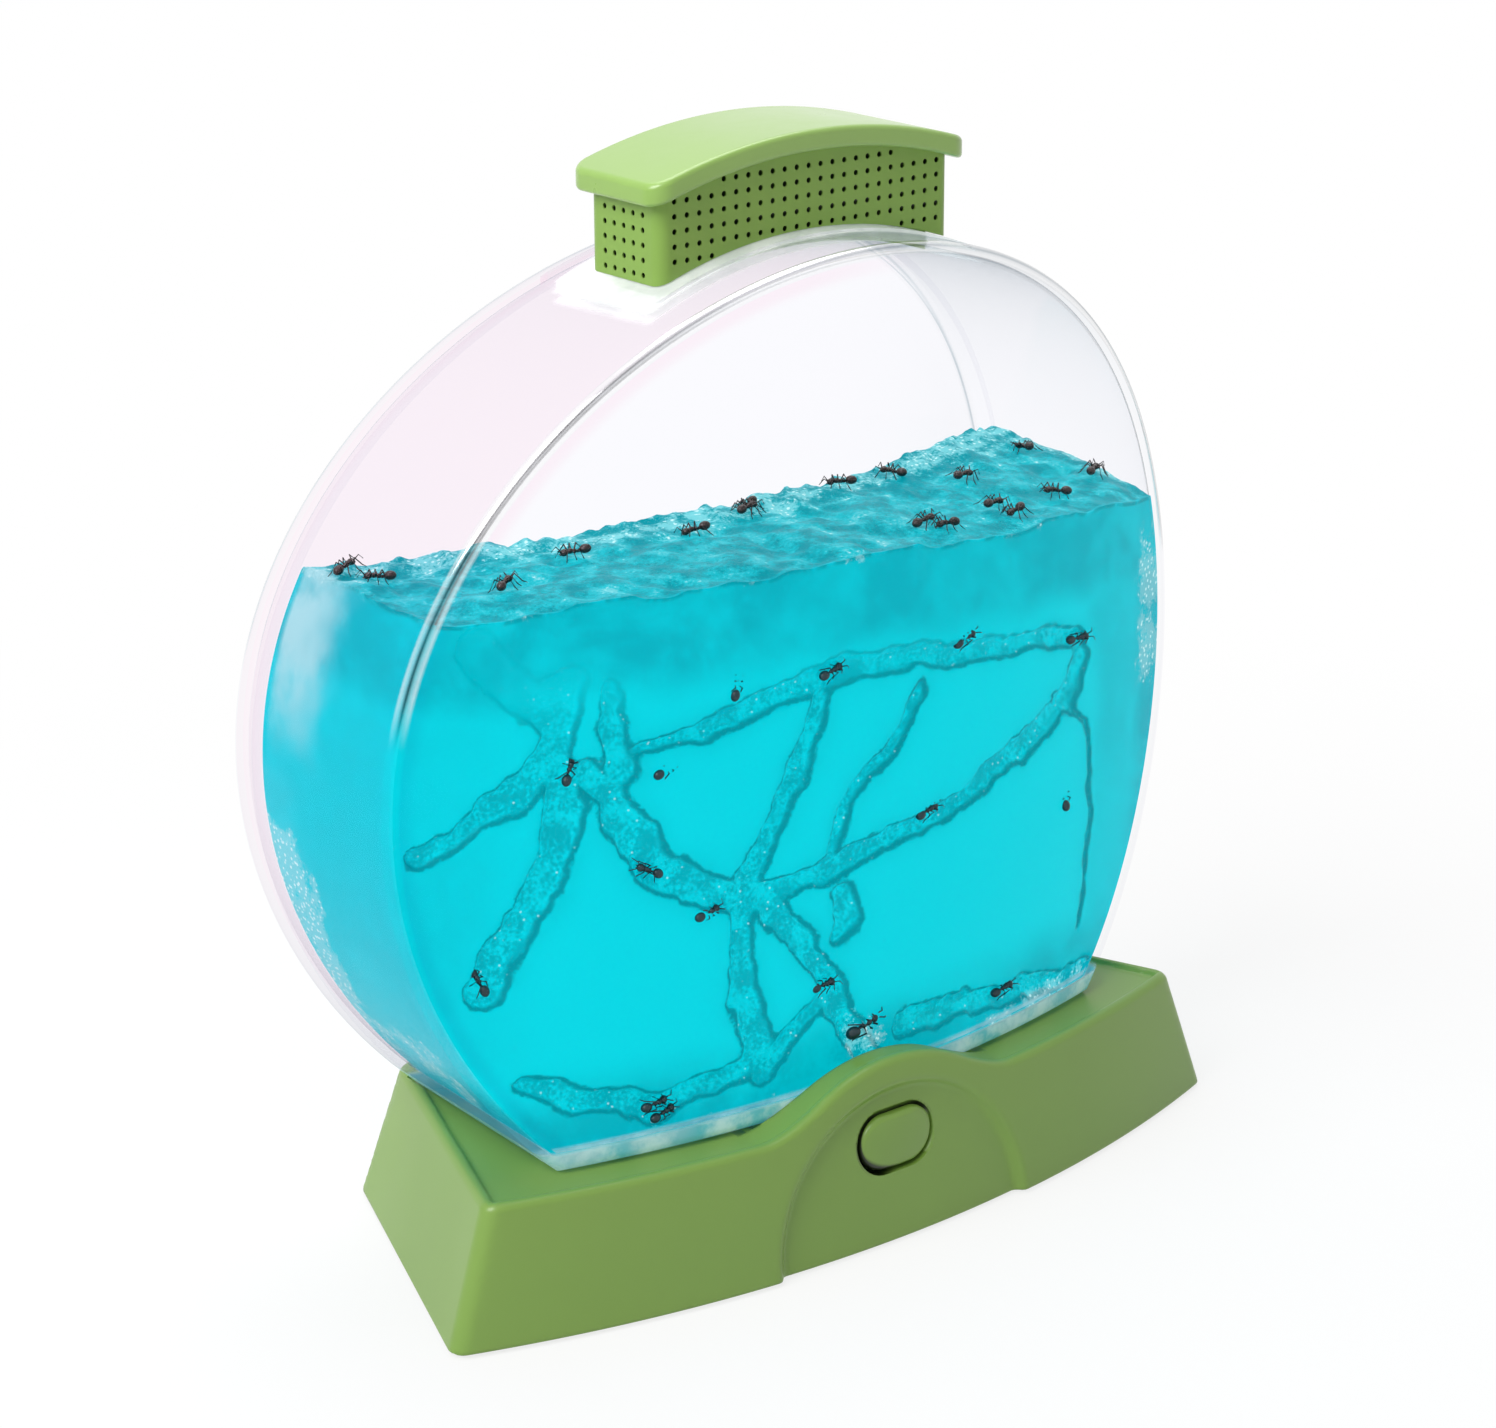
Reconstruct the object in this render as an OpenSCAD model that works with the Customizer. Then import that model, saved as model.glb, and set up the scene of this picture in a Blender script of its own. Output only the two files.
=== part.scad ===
// Table-top ant habitat: a round, gently curved clear tank of gel stands in a lit base and carries a
// perforated vent under an arched cap. Millimetres, +Z up, origin under the middle of the outer box.

/* [Base] */
// How far the base's bottom front edge reaches beyond the tank's rim at each side
base_out = 0; // [-2:0.5:6]
// Depth of the base, from beside the sunk pad to the rear corners
base_depth = 105.7; // [104:0.1:110]
// Height of the base from its bottom rim to the deck
base_h = 33; // [32:0.5:38]
// Plan radius of the bottom front edge
base_front_r = 340; // [325:5:380]
// How far the front face leans back over its height
front_lean = 5.6; // [4:0.2:7]
// How far the rear face leans forward over its height
rear_lean = 3.2; // [2:0.2:4.5]
// Inward tilt of the two end faces, degrees
end_tilt = 17; // [14:0.5:19]
// Wall thickness of the base mouldings
base_wall = 2.4; // [2:0.1:2.8]
// Wall thickness of the arch
arch_wall = 2.7; // [2.5:0.1:3]
// Rounding of the deck's outer edges
edge_r = 2.2; // [1.6:0.1:2.6]
// Width of the raised lip round the deck
lip_w = 3; // [2.6:0.1:3.6]
// How far the deck lies below its lip
deck_sunk = 1.2; // [0.6:0.1:1.6]
// Deck left free in front of the tank
ledge_front = 10.9; // [10:0.1:12.5]
// How far the rubber feet stand below the rim
foot_proud = 0.8; // [0.5:0.1:1.2]

/* [Front arch and button] */
// Outer radius of the arch over the button
arch_r = 44.5; // [42:0.5:48]
// Radius of the sunk half-round pad in the arch
pad_r = 37; // [35:0.5:39]
// Depth of the sunk pad
pad_depth = 2.4; // [1.6:0.1:3]
// Width of the oval button
button_w = 22; // [20:0.5:24]
// Height of the oval button
button_h = 14; // [12:0.5:15]
// Height of the button's centre above the rim
button_rise = 24; // [23:0.5:25]
// How far the button stands out of the pad
button_proud = 1.2; // [0.8:0.1:1.8]
// Travel of the button
button_travel = 1.2; // [0.6:0.1:1.3]
// Radius of the button's crowned face
button_crown_r = 48; // [40:1:80]

/* [Tank] */
// Radius of the tank's round rim at the front
tank_r = 118; // [114:0.5:120]
// How much smaller the rim is at the rear
tank_taper = 1.8; // [1:0.1:2.5]
// Depth of the tank at its middle
tank_depth = 64.5; // [62:0.5:66]
// Height of the tank's centre above the deck
tank_rise = 84.3; // [82:0.1:88]
// Plan radius of the bulging front window
tank_front_curve = 313; // [300:1:340]
// Plan radius of the hollow rear window
tank_rear_curve = 274; // [262:1:290]
// Wall thickness of the clear tank
tank_wall = 2.2; // [1.8:0.1:2.6]
// Thickness of the clear tank floor
tank_floor = 3.4; // [3:0.1:4]
// Distance of the seam from the rear window
seam_depth = 8.6; // [8:0.1:10]
// Length of the spigot under the seam
spigot_len = 3; // [2:0.5:4]
// Inset of the foot that drops into the base
foot_inset = 12; // [11:0.5:14]
// Half length of that foot
foot_half = 68; // [60:1:70]
// Depth of the cradle for the foot
cradle_depth = 7; // [5:0.5:8]

/* [Gel] */
// Height of the gel above the deck
gel_h = 132; // [100:1:134]
// How far the gel's top falls off towards the front right
gel_fall = 10; // [0:0.5:14]
// Height of the lumps in the gel's top
gel_lumps = 0.6; // [0:0.1:1]
// Width of the ants' tunnels, as a share of the widths listed with their routes
tunnel_girth = 1; // [0.5:0.05:1.2]

/* [Neck and vent] */
// Width of the vent box
vent_w = 84.3; // [80:0.1:88]
// Depth of the vent box
vent_d = 25.8; // [24:0.1:28]
// Place of the vent's middle behind the origin
vent_y = -2.45; // [-4:0.05:-1]
// Corner rounding of the vent box
vent_corner = 3; // [2.5:0.1:4]
// Wall thickness of the vent box
vent_wall = 1.8; // [1.5:0.1:2.2]
// Pitch of the vent holes across
hole_pitch_x = 3.45; // [3.3:0.05:3.8]
// Pitch of the vent holes upwards
hole_pitch_z = 3.344; // [3.2:0.002:3.6]
// Diameter of a vent hole
hole_d = 1.3; // [1:0.05:1.6]
// Height of the reference row of holes above the top of the tank's rim
hole_rise = 8.65; // [7.5:0.05:9.5]
// Height of the cap's underside above the top of the tank's rim
cap_rise = 19; // [17:0.1:21]
// Thickness of the arched cap
cap_t = 5; // [4:0.1:6]
// How far the cap stands over the vent box
cap_over = 3.4; // [2.5:0.1:4]
// Height of the flat boss round the neck
boss_rise = 0.8; // [0.6:0.1:1.2]
// Width of that boss
boss_w = 96; // [92:1:100]
// Reach of the boss in front of the vent
boss_front = 4; // [3:0.1:5]
// Reach of the boss behind the vent
boss_rear = 10.8; // [8:0.1:12]

/* [Power and light] */
// Diameter of a battery cell
cell_d = 10.5; // [10.3:0.1:10.7]
// Length of a battery cell with its pip
cell_len = 44.5; // [44:0.1:45]
// Number of battery cells
cell_count = 3; // [2:1:3]
// Number of light diodes
led_count = 5; // [3:1:7]
// Length of the light window
window_len = 92; // [80:1:100]
// Width of the light window
window_w = 12; // [8:0.5:14]
// Diameter of the insulated leads
lead_d = 1.3; // [1:0.1:1.6]

/* [Fits] */
// Gap between pieces that lift apart
lift_gap = 0.3; // [0.25:0.05:0.5]
// Gap at the sides of the tank's foot and vent's plug
side_gap = 0.35; // [0.3:0.05:0.6]
// Gap round the button
button_gap = 0.45; // [0.35:0.05:0.6]
// Gap between pieces that are glued or screwed together
seat_gap = 0.1; // [0.05:0.05:0.15]

/* [Hidden] */

$fn = 64;
arc_fn = 360;             // smoothness of the wide arcs
edge_steps = 6;           // facets of a rounded deck edge
far = 2 * (tank_r + tank_rise);   // longer than anything here
past = 1;                 // how far a cut runs past what it cuts
arch_margin = 15;         // how far the cutting blocks reach beyond the arch
span = 30;                // half angle of the revolved blanks, before their ends are cut

GREEN = [0.46, 0.62, 0.31];
DARK_GREEN = [0.38, 0.53, 0.25];
CLEAR = [0.85, 0.93, 0.94, 0.35];
GEL = [0.0, 0.85, 0.9, 0.8];
STEEL = [0.75, 0.76, 0.78];
BOARD = [0.12, 0.42, 0.24];

// Heights
rim_z = foot_proud;
deck_z = rim_z + base_h;
ledge_z = deck_z - deck_sunk;
roof_z = ledge_z - base_wall;              // underside of the deck
cradle_z = deck_z - cradle_depth;
cradle_under = cradle_z - base_wall;
plate_t = 2;
plate_sunk = 0.6;
plate_z = rim_z + plate_sunk;
plate_top = plate_z + plate_t;
tank_z = ledge_z + lift_gap;               // underside of the tank
tank_cz = deck_z + tank_rise;
gel_z = deck_z + gel_h;

// Plan of the base: a ring segment about one centre behind it
base_w = 2 * (tank_r + base_out);
base_cy = sqrt(pow(base_front_r, 2) - pow(pad_r, 2)) - base_depth / 2;
end_angle = asin(base_w / 2 / base_front_r);
base_rear_r = (base_cy - base_depth / 2) / cos(end_angle);
front_slope = front_lean / base_h;
rear_slope = rear_lean / base_h;

// Plan of the tank
tank_front_y = base_cy - base_front_r + front_lean + ledge_front;
tank_rear_y = tank_front_y + tank_depth;
front_cy = tank_front_y + tank_front_curve;
rear_cy = tank_rear_y + tank_rear_curve;
corner_y = front_cy - sqrt(pow(tank_front_curve, 2) - pow(tank_r, 2));
taper = tank_taper / tank_depth;
side_y0 = tank_front_y - 10;
side_y1 = rear_cy - sqrt(pow(tank_rear_curve, 2) - pow(tank_r, 2)) + 10;
function side_r(y) = tank_r - taper * (y - corner_y);

// Gel: its front face, its lumpy top and the tunnels behind the front window
gel_in = tank_wall + seat_gap;
gel_fn = 120;                              // smoothness of the gel's arcs
gel_columns = 24;                          // facets of its top across and from front to rear
gel_rows = 6;
tunnel_fn = 8;
function gel_front(x) = front_cy - sqrt(pow(tank_front_curve - gel_in, 2) - x * x);
function gel_top(x, y) = let (back = min(1, max(0, (y - gel_front(x)) / tank_depth)))
    gel_z - gel_fall * max(0, x) / tank_r * (1 - back)
    + gel_lumps * (sin(11 * x + 40) * cos(9 * y) + sin(5 * x - 13 * y + 80));
// Bends of the tunnels: across, above the deck, width
tunnels = [
    [[-78, 114, 7], [-81, 100, 6], [-88, 91, 5], [-99, 85, 4]],
    [[-78, 95, 6], [-79, 81, 7], [-82, 70, 6], [-89, 61, 5], [-97, 46, 7]],
    [[-72, 94, 5], [-65, 81, 6], [-57, 69, 7], [-46, 61, 6], [-34, 55, 7]],
    [[-13, 100, 4], [-18, 86, 4], [-25, 73, 4], [-34, 55, 6]],
    [[18, 95, 3], [9, 85, 3], [-3, 76, 3], [-9, 62, 3]],
    [[78, 90, 4], [72, 79, 5], [52, 72, 5], [32, 65, 4], [-11, 58, 4], [-34, 55, 6]],
    [[-35, 54, 5], [-35, 31, 5], [-30, 18, 5]],
    [[-30, 55, 5], [-17, 41, 5], [-9, 27, 5], [3, 6, 4]],
    [[-13, 25, 4], [-29, 11, 4]],
    [[-6, 52, 4], [-6, 42, 5]],
    [[-90, 22, 3], [-76, 15, 4], [-59, 10, 5], [-43, 12, 5], [-30, 16, 4]],
    [[-60, 97, 3], [-29, 103, 4], [-7, 106, 5], [21, 103, 4], [69, 95, 3]],
    [[-67, 112, 4], [-67, 103, 4], [-64, 92, 5]],
    [[81, 61, 9], [85, 36, 9], [79, 16, 9], [64, 7, 7]],
    [[-97, 125, 7], [-87, 113, 7], [-79, 107, 7]],
    [[12, 13, 5], [33, 12, 5], [60, 7, 5], [84, 4, 4]]];

// Neck and vent
boss_r = tank_r + boss_rise;
vent_r = boss_r + lift_gap;                // underside of the vent box
vent_x = vent_w / 2;
cap_under_r = tank_r + cap_rise;           // underside of the cap, about the tank's centre
hole_row = tank_r + hole_rise;
hole_edge = 0.08;                          // least wall left under a hole
hole_top_edge = 0.8;                       // and over it
shelf_t = 1.5;
plug_inset = 3;
plug_wall = 1.6;
plug_drop = 0.8;                           // plug below the tank's wall
plug_r = tank_r - tank_wall - plug_drop;   // underside of the plug, about the tank's centre
wall_low = sqrt(pow(plug_r, 2) - pow(vent_x, 2));  // rough ends of the walls, before they are cut to the arcs
plug_z = tank_cz + wall_low;
wall_high = cap_under_r + cap_t;
cap_r = cap_under_r + cap_t;
cap_corner = 5;
rib_t = 1.6;
rib_drop = 2.4;

// Power
cell_gap = 0.5;
cell_pitch = cell_d + cell_gap;
contact_t = 0.4;
spring_len = 3.2;
wire = 0.6;
tub_wall = 2.4;
tub_roof = 1.5;
tub_len = cell_len + spring_len + 2 * contact_t + 2 * seat_gap;
tub_w = cell_count * cell_pitch + 1;
bay_gap = 1.1;                             // between the bay and the rear wall
cell_z = plate_top + 0.4 + cell_d / 2;
tub_top = cell_z + cell_d / 2 + 0.4 + tub_roof;
tub_y = base_cy - face_rear(tub_top, base_wall) - bay_gap - tub_wall - tub_w / 2;
door_gap = 0.3;
door_lap = 1;                              // door beyond the bay it covers
door_x0 = -tub_len / 2 - door_lap;
door_x1 = tub_len / 2 + door_lap;
hook_reach = 2.6;
hook_t = 1.4;
hook_w = 3;
pip_d = 3.8;
pip_len = 1.2;
function cell_y(i) = tub_y + (i - (cell_count - 1) / 2) * cell_pitch;
function cell_way(i) = i % 2 == 0 ? 1 : -1;

// Boards
board_t = 1.6;
led_h = 3;
led_d = 5;
flange_t = 1.2;                            // flange of the light window
flange_w = 2;
led_board_top = cradle_under - flange_t - led_h - 0.4;
led_board_z = led_board_top - board_t;
led_half = window_len / 2 + 16;
led_board_w = window_w + 5;
post_d = 5;
post_x = window_len / 2 + 9;
post_off = 4.6;
mid_r = tank_front_curve - tank_depth / 2; // arc that the light strip follows
mid_cy = tank_front_y + tank_depth / 2 + mid_r;
function on_strip(x, off) = [x, mid_cy - sqrt(pow(mid_r + off, 2) - x * x)];

// Screws of the base plate: [plan radius, share of the end angle]
boss_d = 7;
pilot_d = 2.7;
shank_d = 2.6;
head_d = 5.2;
head_h = 1.7;
well_d = 8.6;
well_top = plate_top + 2;
base_screw_len = 11;
screw_in = 9;                              // from the walls at deck height to a screw
screw_places = [
    [base_front_r - front_lean - screw_in, 0.86], [base_rear_r + rear_lean + screw_in + 1, 0.82],
    [base_front_r - front_lean - screw_in, 0.42]];
slot_w = 0.7;                              // cross slot of a screw head
slot_len = 3;
slot_depth = 0.8;
function polar(r, share) =
    [r * sin(share * end_angle), base_cy - r * cos(share * end_angle)];

// Feet
rubber_d = 10;
rubber_sunk = 0.4;
foot_in = 14;                              // from the walls' bottom edges to a foot's middle
foot_places = [[base_front_r - foot_in, 0.62], [base_rear_r + foot_in + 2, 0.6]];

// Button and switch, in a row along Y
button_z = rim_z + button_rise;
pad_y = base_cy - base_front_r + front_slope * button_rise + pad_depth;
flange_grow = 1.3;
flange_y = pad_y + base_wall + front_slope * (button_h / 2 + flange_grow) + 0.5;
button_flange = 1.2;
stem_d = 5;
stem_len = 1;
plunger_d = 3.4;
plunger_len = 2;
plunger_in = 2;                            // length that runs inside the switch
switch_y = flange_y + button_flange + stem_len + plunger_len;
switch_s = 6;
switch_t = 3.6;
sboard_y = switch_y + switch_t;
sboard_w = 38;
sboard_drop = 7;                           // board below the button's centre
board_gap = 0.5;                           // between that board and the deck
sboard_top = roof_z - board_gap;
sboard_z = button_z - sboard_drop;
spost_x = 15.8;
small_pilot = 1.9;
small_shank = 1.8;
small_head = 3.6;
small_head_h = 1.3;
small_len = 5;

// Routes of the leads, from a cell's tab or a board to a board
tab_top = tub_top + 0.9;
tab_x = tub_len / 2 - contact_t;
lead_tab = tab_x + contact_t + lead_d / 2;
lead_z = tub_top + lead_d / 2 + seat_gap;
sboard_back = sboard_y + board_t + seat_gap;
red_route = [[lead_tab, cell_y(0), lead_z], [30, 2, 16.5], [34, -6, 13],
             [30, -18, 12], [21, -27, 14], [13, -29, 19], [13, sboard_back, 20]];
black_route = [[-lead_tab, cell_y(cell_count - 1), lead_z], [-30, 23, 16.2],
               [-38, 15, 12], [-44, 5, 11], [-46, 0, 14], [-46, 0, led_board_z - seat_gap]];
link_route = [[-13, sboard_back, 20], [-13, -29, 19], [-19, -23, 15], [-30, -15, 12],
              [-36, -6, 12], [-37, -3, 15], [-37, -3, led_board_z - seat_gap]];

// ---------- helpers ----------

module both_sides() {
    children();
    mirror([1, 0, 0]) children();
}

// Cylinder along +Y
module rod_y(r, y0, y1, x = 0, z = 0) {
    translate([x, y0, z]) rotate([-90, 0, 0]) cylinder(r = r, h = y1 - y0, $fn = r > 20 ? arc_fn : $fn);
}

// Upright rounded slab, centred in plan
module slab(w, d, r, z0, z1, y = 0) {
    translate([0, y, z0]) linear_extrude(z1 - z0) {
        square([w - 2 * r, d], center = true);
        square([w, d - 2 * r], center = true);
        for (sx = [-1, 1], sy = [-1, 1])
            translate([sx * (w / 2 - r), sy * (d / 2 - r)]) circle(r = r);
    }
}

// Oval of two round ends, drawn in X and Y
module oval(w, h) {
    square([w - h, h], center = true);
    for (s = [-1, 1]) translate([s * (w - h) / 2, 0]) circle(d = h);
}

module oval_rod(w, h, y0, y1) {
    translate([0, y1, button_z]) rotate([90, 0, 0]) linear_extrude(y1 - y0) oval(w, h);
}

// Profile revolved about the base's plan centre
module swept(points) {
    translate([0, base_cy, 0]) rotate([0, 0, -90 - span])
        rotate_extrude(angle = 2 * span, $fn = arc_fn) polygon(points);
}

// What lies beyond the end faces, moved in by inset
module beyond_ends(inset = 0, tilt = end_tilt) {
    both_sides() translate([0, base_cy, rim_z]) rotate([0, 0, end_angle - 90])
        translate([base_rear_r / 2, 0, 0]) rotate([tilt, 0, 0])
            translate([0, -inset, -far / 4]) cube([far, far / 4, far / 2]);
}

// Plan radii of the drafted front and rear faces, moved in by d, at height z
function face_front(z, d) = base_front_r - front_slope * (z - rim_z) - d * sqrt(1 + pow(front_slope, 2));
function face_rear(z, d) = base_rear_r + rear_slope * (z - rim_z) + d * sqrt(1 + pow(rear_slope, 2));

// Section of the base moved in by d, from z0 up to z1
function section(d, z0, z1) = [
    [face_rear(z0, d), z0], [face_front(z0, d), z0], [face_front(z1, d), z1], [face_rear(z1, d), z1]];

// The same section with rounded top edges
function rounded_section(r, z0, z1) = concat(
    [[face_rear(z0, 0), z0], [face_front(z0, 0), z0]],
    [for (i = [0:edge_steps]) let (a = atan(front_slope) + (90 - atan(front_slope)) * i / edge_steps)
        [face_front(z1 - r, r) + r * cos(a), z1 - r + r * sin(a)]],
    [for (i = [edge_steps:-1:0]) let (a = atan(rear_slope) + (90 - atan(rear_slope)) * i / edge_steps)
        [face_rear(z1 - r, r) - r * cos(a), z1 - r + r * sin(a)]]);

// The space inside the drafted front face, moved in by d, for cuts and blends at the front
module behind_front(d) {
    top = rim_z + 2 * base_h;
    swept([[base_rear_r, -past], [face_front(-past, d), -past], [face_front(top, d), top], [base_rear_r, top]]);
}

// The zone round the arch, in front of the plan's middle
module front_zone() {
    half = arch_r + arch_margin;
    translate([-half, -base_depth, -past]) cube([2 * half, base_depth, 2 * base_h]);
}

module below_rim() {
    translate([-far / 2, -far / 2, rim_z - far]) cube(far);
}

// Tank outline in plan, moved in by d
module tank_plan(d, fn = arc_fn) {
    difference() {
        translate([0, front_cy]) circle(r = tank_front_curve - d, $fn = fn);
        translate([0, rear_cy]) circle(r = tank_rear_curve + d, $fn = fn);
    }
}

// Tank form moved in by d, above z0
module tank_form(d, z0, fn = arc_fn) {
    intersection() {
        translate([0, side_y0, tank_cz]) rotate([-90, 0, 0]) cylinder(
            r1 = side_r(side_y0) - d, r2 = side_r(side_y1) - d, h = side_y1 - side_y0, $fn = fn);
        translate([0, 0, z0]) linear_extrude(far) tank_plan(d, fn);
    }
}

// Plan of the tank's foot and of the cradle that takes it, grown by d
module foot_plan(d) {
    intersection() {
        tank_plan(foot_inset - d);
        translate([0, tank_front_y + tank_depth / 2])
            square([2 * (foot_half + d), 2 * tank_depth], center = true);
    }
}

// Strip of the given length and width along the light window's arc
module strip(len, w, z0, z1) {
    translate([0, 0, z0]) linear_extrude(z1 - z0) intersection() {
        difference() {
            translate([0, mid_cy]) circle(r = mid_r + w / 2, $fn = arc_fn);
            translate([0, mid_cy]) circle(r = mid_r - w / 2, $fn = arc_fn);
        }
        translate([0, tank_front_y + tank_depth / 2]) square([len, 2 * tank_depth], center = true);
    }
}

// Everything inside the rear window's surface moved forward by d
module behind_seam(d, fn = arc_fn) {
    translate([0, rear_cy, -1]) cylinder(r = tank_rear_curve + d, h = far, $fn = fn);
}

// Smooth route through the given points, and a round tube along it
function bend(p, i, t) = let (
    a = p[max(i - 1, 0)], b = p[i], c = p[i + 1], d = p[min(i + 2, len(p) - 1)])
    0.5 * (2 * b + t * (c - a) + t * t * (2 * a - 5 * b + 4 * c - d) + t * t * t * (3 * b - a - 3 * c + d));
function route(p, n) = concat(
    [for (i = [0:len(p) - 2], k = [0:n - 1]) bend(p, i, k / n)], [p[len(p) - 1]]);
function unit(v) = v / norm(v);
function heading(p, i) = unit(p[min(i + 1, len(p) - 1)] - p[max(i - 1, 0)]);
function aside(h) = unit(cross(h, abs(h[2]) > 0.9 ? [0, 1, 0] : [0, 0, 1]));

module tube(p, d, sides = 8) {
    rings = len(p);
    points = [for (i = [0:rings - 1]) let (h = heading(p, i), s = aside(h), u = cross(s, h))
        for (k = [0:sides - 1]) p[i] + d / 2 * (s * cos(360 * k / sides) + u * sin(360 * k / sides))];
    walls = [for (i = [0:rings - 2], k = [0:sides - 1]) let (a = i * sides, n = (k + 1) % sides)
        [a + k, a + n, a + sides + n, a + sides + k]];
    polyhedron(points, concat(walls, [[for (k = [sides - 1:-1:0]) k]],
        [[for (k = [0:sides - 1]) (rings - 1) * sides + k]]), convexity = 6);
}

// ---------- base ----------

module arch_blank(r, d) {
    intersection() {
        behind_front(d);
        rod_y(r, -far / 2, 0, z = rim_z);
    }
}

// Solid outside of the housing, with deck, lip and arch
module housing_outside() {
    difference() {
        union() {
            difference() {
                swept(rounded_section(edge_r, rim_z, deck_z));
                difference() {
                    swept([[face_rear(deck_z, lip_w), ledge_z], [face_front(deck_z, lip_w), ledge_z],
                           [face_front(deck_z, lip_w - deck_sunk), deck_z + 1],
                           [face_rear(deck_z, lip_w - deck_sunk), deck_z + 1]]);
                    beyond_ends(lip_w);
                }
            }
            difference() {
                arch_blank(arch_r, 0);
                behind_front(lip_w);
                below_rim();
            }
            difference() {
                arch_blank(arch_r - deck_sunk, lip_w - 0.5);
                below_rim();
            }
        }
        beyond_ends();
        intersection() {
            rod_y(pad_r, -far / 2, 0, z = rim_z);
            difference() {
                front_zone();
                behind_front(pad_depth);
            }
        }
    }
}

module housing_hollow() {
    difference() {
        union() {
            difference() {
                swept(section(base_wall, -1, roof_z));
                beyond_ends(base_wall);
            }
            intersection() {
                behind_front(arch_wall);
                rod_y(arch_r - deck_sunk - arch_wall, -far / 2, 0, z = rim_z);
                translate([0, 0, plate_top]) linear_extrude(far) difference() {
                    translate([-arch_r - arch_margin, -base_depth]) square([2 * (arch_r + arch_margin), base_depth]);
                    translate([0, front_cy])
                        circle(r = tank_front_curve + side_gap + arch_wall, $fn = arc_fn);
                }
            }
        }
        translate([0, 0, cradle_under]) linear_extrude(far) foot_plan(side_gap + base_wall);
        intersection() {
            rod_y(pad_r + base_wall, -far / 2, 0, z = rim_z);
            difference() {
                front_zone();
                behind_front(pad_depth + base_wall);
            }
        }
    }
}

module base_screw_spots() {
    for (p = screw_places) both_sides()
        translate([polar(p[0], p[1])[0], polar(p[0], p[1])[1], 0]) children();
}

module foot_spots() {
    for (p = foot_places) both_sides()
        translate([polar(p[0], p[1])[0], polar(p[0], p[1])[1], 0]) children();
}

module led_post_spots() {
    for (off = [-post_off, post_off]) both_sides()
        translate([on_strip(post_x, off)[0], on_strip(post_x, off)[1], 0]) children();
}

module base_housing() {
    color(GREEN) difference() {
        union() {
            difference() {
                housing_outside();
                housing_hollow();
            }
            intersection() {
                base_screw_spots() translate([0, 0, well_top]) cylinder(d = boss_d, h = roof_z - well_top + 1);
                swept(section(base_wall / 2, rim_z, roof_z + 1));
            }
            led_post_spots() translate([0, 0, led_board_top])
                cylinder(d = post_d, h = cradle_under - led_board_top + 1);
            both_sides() rod_y(post_d / 2, pad_y + base_wall - 0.4, sboard_y, x = spost_x, z = button_z);
        }
        base_screw_spots() translate([0, 0, well_top - past]) cylinder(d = pilot_d, h = base_screw_len + past);
        led_post_spots() translate([0, 0, led_board_top - past]) cylinder(d = small_pilot, h = small_len);
        both_sides() rod_y(small_pilot / 2, sboard_y - small_len, sboard_y + past, x = spost_x, z = button_z);
        // room for the tank and its foot
        tank_form(-side_gap, ledge_z);
        translate([0, 0, cradle_z]) linear_extrude(far) foot_plan(side_gap);
        strip(window_len, window_w, cradle_under - 1, cradle_z + 1);
        oval_rod(button_w + 2 * button_gap, button_h + 2 * button_gap, pad_y - button_w, flange_y);
    }
}

// Outline of the base plate's edge inside the housing
module plate_blank(z0, z1) {
    difference() {
        swept([[face_rear(plate_top, base_wall + seat_gap), z0], [face_front(plate_top, base_wall + seat_gap), z0],
               [face_front(plate_top, base_wall + seat_gap), z1], [face_rear(plate_top, base_wall + seat_gap), z1]]);
        beyond_ends((base_wall + seat_gap) / cos(end_tilt) + (plate_top - rim_z) * tan(end_tilt), 0);
        intersection() {
            rod_y(pad_r + base_wall + seat_gap, -far / 2, 0, z = rim_z);
            difference() {
                front_zone();
                behind_front(pad_depth + base_wall + seat_gap + front_slope * plate_t);
            }
        }
    }
}

module bay_box(grow, z0, z1) {
    translate([-tub_len / 2 - grow, tub_y - tub_w / 2 - grow, z0])
        cube([tub_len + 2 * grow, tub_w + 2 * grow, z1 - z0]);
}

module base_plate() {
    color(DARK_GREEN) difference() {
        union() {
            plate_blank(plate_z, plate_top);
            base_screw_spots() translate([0, 0, plate_z]) cylinder(d = well_d, h = well_top - plate_z);
            bay_box(tub_wall, plate_top - 0.5, tub_top);
        }
        bay_box(0, plate_z - 1, tub_top - tub_roof);
        bay_box(door_lap + door_gap, plate_z - 1, plate_top);
        base_screw_spots() {
            translate([0, 0, plate_z - 1]) cylinder(d = head_d + 0.6, h = plate_t + 1);
            translate([0, 0, plate_z]) cylinder(d = shank_d + 0.4, h = 5);
        }
        foot_spots() translate([0, 0, plate_z - 1]) cylinder(d = rubber_d + 0.3, h = 1 + rubber_sunk);
        for (i = [0, cell_count - 1])
            translate([cell_way(0) * (i == 0 ? 1 : -1) * (tab_x + contact_t / 2), cell_y(i), tub_top - 2])
                cube([contact_t + 2 * seat_gap, 3.4, 8], center = true);
        // hooks of the door pass above the plate
        for (y = [cell_y(0), cell_y(cell_count - 1)])
            translate([door_x0 - hook_reach - 0.6, (y + tub_y) / 2 - hook_w / 2 - 0.4, plate_top])
                cube([hook_reach + door_lap + 1.6, hook_w + 0.8, hook_t + 1.6]);
    }
}

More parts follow.
